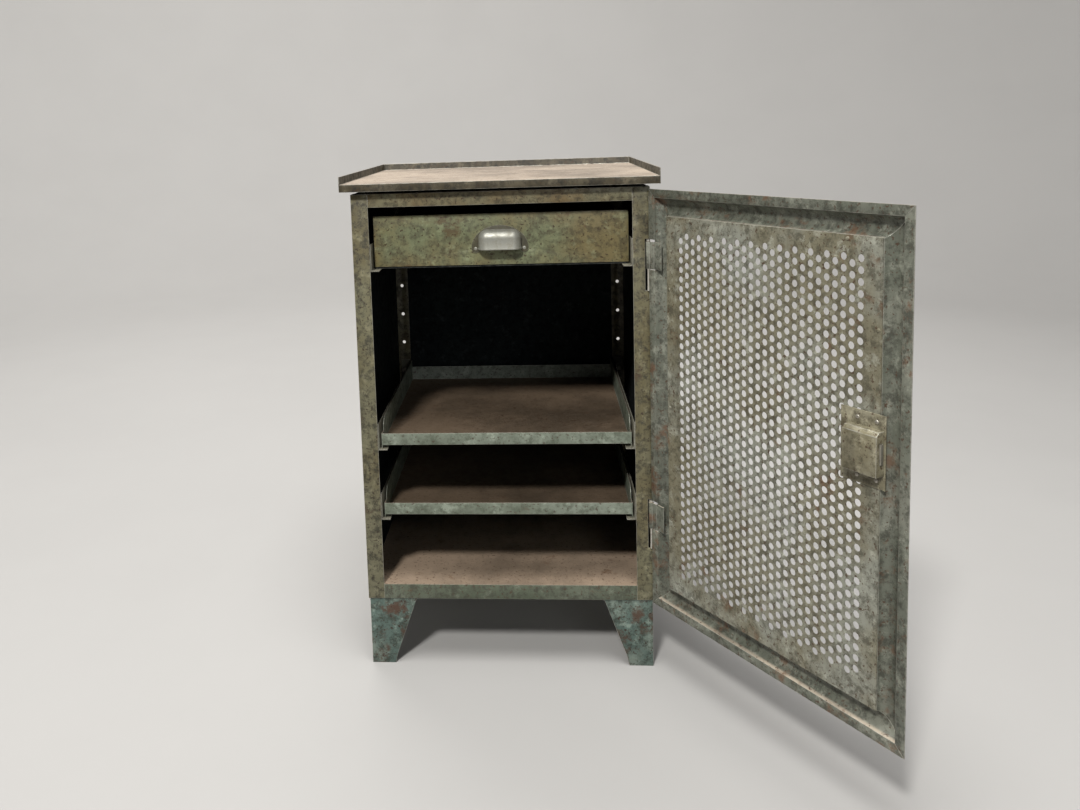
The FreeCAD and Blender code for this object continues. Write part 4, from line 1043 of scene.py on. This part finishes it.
@dataclass
class PerforatedSheet:
    """The door's inner sheet: a staggered field of round holes inside a plain margin."""

    left: float
    right: float
    low: float
    high: float
    face: float
    wall: float
    hole: float = 10.0 * MM
    pitch: float = 15.0 * MM
    columns: int = 26
    rows: int = 37
    rise: float = 3.0 * MM
    lock_hole: float = 6.3 * MM
    sides: int = 16
    lock_sides: int = 24

    @classmethod
    def from_frame(cls) -> "PerforatedSheet":
        """The sheet with its outline and thickness read from the CAD node."""
        low, high = DOOR_AXES.closed_box("perforated_panel")
        return cls(low.x, high.x, low.z, high.z, high.y, high.y - low.y)

    @property
    def step(self) -> float:
        """The distance between two columns."""
        return self.pitch * math.sqrt(3) / 2

    def column_x(self, column: int) -> float:
        """The middle of a column, counted from the hinge side.

        Args:
            column: its number.

        Returns:
            How far right it is.
        """
        return (self.left + self.right) / 2 + ((self.columns - 1) / 2 - column) * self.step

    def column_span(self, column: int) -> tuple[float, float]:
        """The lowest and highest edges of a column's cells.

        Args:
            column: its number.

        Returns:
            The two heights.
        """
        middle = (self.low + self.high) / 2 + self.rise
        shift = self.pitch / 4 if column % 2 else -self.pitch / 4
        half = self.rows * self.pitch / 2
        return middle + shift - half, middle + shift + half

    def outline(self) -> list[Vector]:
        """The stepped outline of the field of holes, with every corner of the cells on it.

        Returns:
            The outline's points, in the sheet's plane.
        """
        half = self.step / 2
        halves = range(1, self.rows * 2)
        left_end, right_end = self.columns - 1, 0
        points: list[Vector] = []
        for column in range(left_end, -1, -1):
            x, low = self.column_x(column), self.column_span(column)[0]
            points += [Vector((at, low, 0)) for at in (x - half, x, x + half)]
        x, low = self.column_x(right_end) + half, self.column_span(right_end)[0]
        points += [Vector((x, low + n * self.pitch / 2, 0)) for n in halves]
        for column in range(self.columns):
            x, high = self.column_x(column), self.column_span(column)[1]
            points += [Vector((at, high, 0)) for at in (x + half, x, x - half)]
        x, high = self.column_x(left_end) - half, self.column_span(left_end)[1]
        points += [Vector((x, high - n * self.pitch / 2, 0)) for n in halves]
        clean: list[Vector] = []
        for point in points:
            if not clean or (clean[-1] - point).length > MERGE_DISTANCE:
                clean.append(point)
        return clean

    def ring(self, x: float, z: float, radius: float, sides: int) -> list[Vector]:
        """Points round a hole.

        Args:
            x: its middle's place to the right.
            z: its middle's height.
            radius: its radius.
            sides: how many points.

        Returns:
            The points, in the sheet's plane.
        """
        turn = 2 * math.pi / sides
        return [
            Vector((x + radius * math.cos(n * turn), z + radius * math.sin(n * turn), 0))
            for n in range(sides)
        ]

    def solid(
        self, outer: list[Vector], holes: list[list[Vector]], walled: list[bool]
    ) -> bpy.types.Mesh:
        """A flat plate between two outlines, with walls only where they are asked for.

        Args:
            outer: the outer outline.
            holes: the outlines inside it.
            walled: whether each outline, the outer one first, has a wall.

        Returns:
            The plate's mesh, its face at the front of its thickness.
        """
        loops = [outer, *holes]
        flat = [p for loop in loops for p in loop]
        triangles = tessellate_polygon(loops)
        count = len(flat)
        back = self.face - self.wall
        vertices = [(p.x, self.face, p.y) for p in flat] + [(p.x, back, p.y) for p in flat]
        faces: list[tuple[int, ...]] = []
        for a, b, c in triangles:
            faces.append((a, b, c))
            faces.append((a + count, c + count, b + count))
        start = 0
        for loop, wall in zip(loops, walled):
            size = len(loop)
            if wall:
                for n in range(size):
                    here, there = start + n, start + (n + 1) % size
                    faces.append((here, there, there + count, here + count))
            start += size
        mesh = bpy.data.meshes.new("plate")
        mesh.from_pydata(vertices, [], faces)
        return mesh

    def cell(self) -> bpy.types.Mesh:
        """One cell of the field about the origin: a rectangle with a round hole.

        Returns:
            The cell's mesh.
        """
        half, tall = self.step / 2, self.pitch / 2
        outer = [
            (half, 0), (half, tall), (0, tall), (-half, tall),
            (-half, 0), (-half, -tall), (0, -tall), (half, -tall),
        ]
        ring = self.ring(0.0, 0.0, self.hole / 2, self.sides)
        per = self.sides // len(outer)
        flat = [Vector((x, z, 0)) for x, z in outer] + ring
        count = len(flat)
        back = self.face - self.wall
        vertices = [(p.x, self.face, p.y) for p in flat] + [(p.x, back, p.y) for p in flat]
        faces: list[tuple[int, ...]] = []
        first = len(outer)
        for n in range(len(outer)):
            after = (n + 1) % len(outer)
            arc = [first + (n * per + k) % self.sides for k in range(per, -1, -1)]
            face = (n, after, *arc)
            faces.append(face)
            faces.append(tuple(v + count for v in reversed(face)))
        for n in range(self.sides):
            here, there = first + n, first + (n + 1) % self.sides
            faces.append((here, there, there + count, here + count))
        mesh = bpy.data.meshes.new("perforation_cell")
        mesh.from_pydata(vertices, [], faces)
        return mesh

    def build(self, material: bpy.types.Material) -> bpy.types.Object:
        """Lays the cells out in the margin and swings the sheet open.

        Args:
            material: the sheet's material.

        Returns:
            The sheet as one plain mesh on the open door.
        """
        corners = [
            Vector((self.left, self.low, 0)), Vector((self.right, self.low, 0)),
            Vector((self.right, self.high, 0)), Vector((self.left, self.high, 0)),
        ]
        lock = self.ring(LOCK_CENTRE.x, LOCK_CENTRE.z, self.lock_hole, self.lock_sides)
        margin = self.solid(corners, [self.outline(), lock], [True, False, True])
        cell = link_object("perforation_cell", self.cell())
        tree = TreeBuilder("perforated_sheet_tree")
        columns = tree.size("Columns", self.columns)
        rows = tree.size("Rows", self.rows)
        pitch = tree.size("Pitch", float(self.pitch))
        start_x = tree.size("First Column", float(self.column_x(0)))
        start_z = tree.size("First Hole", float(self.column_span(0)[0] + self.pitch / 2))
        total = tree.sum("MULTIPLY", columns, rows)
        line = tree.node("GeometryNodeMeshLine", {"Count": total, "Offset": (0.0, 0.0, 0.0)})
        index = tree.node("GeometryNodeInputIndex").outputs[0]
        column = tree.sum("FLOOR", tree.sum("DIVIDE", tree.sum("ADD", index, 0.5), rows))
        row = tree.sum("SUBTRACT", index, tree.sum("MULTIPLY", column, rows))
        odd = tree.sum("MODULO", column, 2.0)
        step = tree.sum("MULTIPLY", pitch, math.sqrt(3) / 2)
        x = tree.sum("SUBTRACT", start_x, tree.sum("MULTIPLY", column, step))
        up = tree.sum("MULTIPLY", tree.sum("ADD", row, tree.sum("MULTIPLY", odd, 0.5)), pitch)
        z = tree.sum("ADD", start_z, up)
        spot = tree.node("ShaderNodeCombineXYZ", {"X": x, "Z": z})
        placed = tree.node(
            "GeometryNodeSetPosition", {"Geometry": line.outputs[0], "Position": spot.outputs[0]}
        )
        info = tree.node("GeometryNodeObjectInfo", {"Object": cell}, transform_space="ORIGINAL")
        copies = tree.node(
            "GeometryNodeInstanceOnPoints",
            {"Points": placed.outputs[0], "Instance": info.outputs["Geometry"]},
        )
        real = tree.node("GeometryNodeRealizeInstances", {"Geometry": copies.outputs[0]})
        both = tree.node("GeometryNodeJoinGeometry")
        tree.tree.links.new(real.outputs[0], both.inputs[0])
        tree.tree.links.new(tree.source.outputs["Geometry"], both.inputs[0])
        merged = tree.node(
            "GeometryNodeMergeByDistance", {"Geometry": both.outputs[0], "Distance": 0.02 * MM}
        )
        tree.finish(merged.outputs[0], material)
        sheet = tree.result("perforated_sheet", margin, [cell])
        sheet.data.transform(DOOR_AXES.turn())
        bm = bmesh.new()
        bm.from_mesh(sheet.data)
        bmesh.ops.recalc_face_normals(bm, faces=bm.faces)
        shade(bm)
        bm.to_mesh(sheet.data)
        bm.free()
        return sheet


@dataclass
class Door(SubAssembly):
    """The door: four frame bars, the perforated sheet, its rivets and the hinge leaves."""

    rounding: float = 0.5 * MM
    sheet: PerforatedSheet = field(default_factory=PerforatedSheet.from_frame)
    leaf_rounding: float = 0.3 * MM
    rivet_inset: float = 5.0 * MM
    side_pitch: float = 190.0 * MM
    end_pitch: float = 142.5 * MM
    rivet_radius: float = 3.0 * MM
    rivet_rise: float = 1.2 * MM

    def build(self) -> None:
        """Dresses the frame and leaves, and builds the sheet and its rivets."""
        for bar in ("door_hinge_stile", "door_lock_stile", "door_top_rail", "door_bottom_rail"):
            self.dress(bar, Finish.FRAME, "door_paint")
        sheet = self.sheet.build(Finish.DOOR.material())
        self.settle(sheet, "door_paint", "perforated_panel")
        for hinge in ("upper", "lower"):
            self.dress(f"{hinge}_hinge_leaf", Finish.FRAME, "door_paint", self.leaf_rounding)
        rivets = FastenerRow(
            "sheet_rivet_heads", self.rivet_places(),
            DOOR_AXES.turn().to_3x3() @ Vector((0, 1, 0)), self.rivet_radius, self.rivet_rise,
        )
        self.settle(rivets.build(Finish.DOOR.material()), "fastener_steel", "panel_rivets")

    def rivet_places(self) -> list[Vector]:
        """Where the sheet's rivets stand on the open door.

        Returns:
            One place for each rivet.
        """
        s = self.sheet
        left, right = s.left + self.rivet_inset, s.right - self.rivet_inset
        low, high = s.low + self.rivet_inset, s.high - self.rivet_inset
        middle_x, middle_z = (left + right) / 2, (low + high) / 2
        sides = [(right, -1), (right, 0), (right, 1), (left, -1), (left, 1)]
        flat = [(x, middle_z + n * self.side_pitch) for x, n in sides]
        flat += [(middle_x + n * self.end_pitch, z) for z in (low, high) for n in (-1, 0, 1)]
        return [DOOR_AXES.place(x, s.face, z) for x, z in flat]


@dataclass
class Hinges(SubAssembly):
    """The fixed pins on the hinge post."""

    rounding: float = 0.3 * MM

    def build(self) -> None:
        """Dresses both pins."""
        for hinge in ("upper", "lower"):
            self.dress(f"{hinge}_hinge_pin", Finish.PIN, "pin_steel")


@dataclass
class Lock(SubAssembly):
    """The rim lock's fixed pieces."""

    rounding: float = 0.8 * MM
    plate_rounding: float = 0.4 * MM
    spread_x: float = 28.0 * MM
    spread_z: float = 75.0 * MM
    screw_radius: float = 3.0 * MM
    screw_rise: float = 1.4 * MM

    def build(self) -> None:
        """Dresses the plate, the case and the escutcheon, and sets the screws."""
        self.dress("lock_plate", Finish.LOCK, "lock_paint", self.plate_rounding)
        self.dress("lock_case", Finish.LOCK, "lock_paint")
        self.dress("lock_escutcheon", Finish.BOLT, "lock_steel", self.plate_rounding)
        face = DOOR_AXES.closed_box("lock_plate")[1].y
        across, up = self.spread_x / 2, self.spread_z / 2
        places = [
            DOOR_AXES.place(LOCK_CENTRE.x + a * across, face, LOCK_CENTRE.z + b * up)
            for a in (-1, 1) for b in (-1, 1)
        ]
        outwards = DOOR_AXES.turn().to_3x3() @ Vector((0, 1, 0))
        row = FastenerRow(
            "lock_screw_heads", places, outwards, self.screw_radius, self.screw_rise, Head.SLOTTED
        )
        self.settle(row.build(Finish.FASTENER.material()), "fastener_steel", "lock_screws")


@dataclass
class LockBolt(SubAssembly):
    """The sliding bolt."""

    rounding: float = 0.4 * MM

    def build(self) -> None:
        """Dresses the bolt."""
        self.dress("lock_bolt", Finish.BOLT, "lock_steel")


@dataclass
class LockCore(SubAssembly):
    """The turning core."""

    rounding: float = 0.25 * MM

    def build(self) -> None:
        """Dresses the core."""
        self.dress("lock_core", Finish.BRASS, "core_brass")


# ---------------------------------------------------------------- studio


@dataclass(frozen=True)
class SoftLight:
    """One area light aimed at a point."""

    name: str
    place: Colour
    target: Colour
    size: float
    power: float
    colour: Colour = (1.0, 1.0, 1.0)

    def build(self) -> None:
        """Adds the light to the scene."""
        data = bpy.data.lights.new(self.name, "AREA")
        data.shape = "DISK"
        data.size = self.size
        data.energy = self.power
        data.color = self.colour
        lamp = bpy.data.objects.new(self.name, data)
        lamp.location = self.place
        aim = Vector(self.target) - Vector(self.place)
        lamp.rotation_euler = aim.to_track_quat("-Z", "Y").to_euler()
        bpy.context.scene.collection.objects.link(lamp)


@dataclass
class Studio:
    """A pale round cove, soft lights and the camera."""

    cove_radius: float = 6.0
    cove_bend: float = 2.5
    cove_height: float = 5.0
    bend_steps: int = 10
    cove_sides: int = 64
    camera_place: Colour = (0.0576, -1.7835, 0.921)
    camera_turn: Colour = (-6.6, 2.0, 5.0)
    focal_share: float = 964.0 / 1080.0
    sensor: float = 36.0
    shift: tuple[float, float] = (0.0824, -0.156)
    sky: Colour = (0.80, 0.80, 0.82)
    sky_strength: float = 0.07

    def build(self) -> None:
        """Sets everything up."""
        self.build_cove()
        self.build_sky()
        for light in self.lights():
            light.build()
        self.build_camera()
        bpy.context.scene.view_settings.view_transform = "Standard"

    def lights(self) -> list[SoftLight]:
        """The key light, a broad light overhead, a weak fill and a wash on the backdrop.

        Returns:
            The four lights.
        """
        return [
            SoftLight("key", (-1.05, -4.1, 4.4), (0.0, 0.0, 0.4), 0.7, 320.0, (1.0, 0.985, 0.96)),
            SoftLight("overhead", (0.1, -1.2, 4.8), (0.1, -1.2, 0.0), 2.4, 215.0, (1.0, 0.99, 0.975)),
            SoftLight("fill", (1.6, -4.2, 1.9), (0.1, -0.2, 0.5), 2.2, 24.0, (0.97, 0.98, 1.0)),
            SoftLight("back_wash", (-0.9, 1.9, 4.7), (-1.3, 4.8, 1.0), 2.6, 250.0, (1.0, 0.985, 0.965)),
        ]

    def build_cove(self) -> None:
        """A floor that bends up into a wall all round."""
        profile = [(0.0, 0.0)]
        flat = self.cove_radius - self.cove_bend
        for n in range(self.bend_steps + 1):
            angle = n / self.bend_steps * math.pi / 2
            reach, rise = math.sin(angle), 1 - math.cos(angle)
            profile.append((flat + self.cove_bend * reach, self.cove_bend * rise))
        profile.append((self.cove_radius, self.cove_height))
        vertices = []
        for k in range(self.cove_sides):
            angle = 2 * math.pi * k / self.cove_sides
            vertices += [(r * math.cos(angle), r * math.sin(angle), z) for r, z in profile]
        size = len(profile)
        faces = []
        for k in range(self.cove_sides):
            here, there = k * size, (k + 1) % self.cove_sides * size
            for n in range(size - 1):
                faces.append((here + n, there + n, there + n + 1, here + n + 1))
        mesh = bpy.data.meshes.new("studio_cove")
        mesh.from_pydata(vertices, [], faces)
        bm = bmesh.new()
        bm.from_mesh(mesh)
        bmesh.ops.remove_doubles(bm, verts=bm.verts, dist=0.01 * MM)
        for face in bm.faces:
            face.smooth = True
        bm.to_mesh(mesh)
        bm.free()
        mesh.materials.append(Finish.STAGE.material())
        link_object("studio_cove", mesh)

    def build_sky(self) -> None:
        """An even pale sky above the cove."""
        world = bpy.data.worlds.new("studio_sky")
        world.use_nodes = True
        background = world.node_tree.nodes["Background"]
        background.inputs["Color"].default_value = (*self.sky, 1.0)
        background.inputs["Strength"].default_value = self.sky_strength
        bpy.context.scene.world = world

    def build_camera(self) -> None:
        """The camera, a little above the cabinet's middle and turned slightly to the left."""
        data = bpy.data.cameras.new("view")
        data.sensor_width = self.sensor
        data.lens = self.focal_share * self.sensor
        data.shift_x, data.shift_y = self.shift
        pitch, roll, yaw = (math.radians(angle) for angle in self.camera_turn)
        turn = (
            Matrix.Rotation(yaw, 4, "Z")
            @ Matrix.Rotation(pitch, 4, "X")
            @ Matrix.Rotation(roll, 4, "Y")
            @ Matrix.Rotation(math.pi / 2, 4, "X")
        )
        camera = bpy.data.objects.new("view", data)
        camera.matrix_world = Matrix.Translation(self.camera_place) @ turn
        bpy.context.scene.collection.objects.link(camera)
        bpy.context.scene.camera = camera


def main() -> None:
    """Builds every sub-assembly in order, then the studio."""
    logging.basicConfig(level=logging.INFO, format="%(name)s: %(message)s")
    parts = [
        Carcass("cabinet"), Feet("cabinet"), Worktop("cabinet"), Runners("cabinet"),
        BackRivets("cabinet"), Hinges("cabinet"), Drawer("drawer"),
        Tray("upper_tray", node="upper_tray_pan"), Tray("lower_tray", node="lower_tray_pan"),
        Door("door"), Lock("door"), LockBolt("lock_bolt"), LockCore("lock_core"),
    ]
    for part in parts:
        part.build()
    Studio().build()


if __name__ == "__main__":
    main()
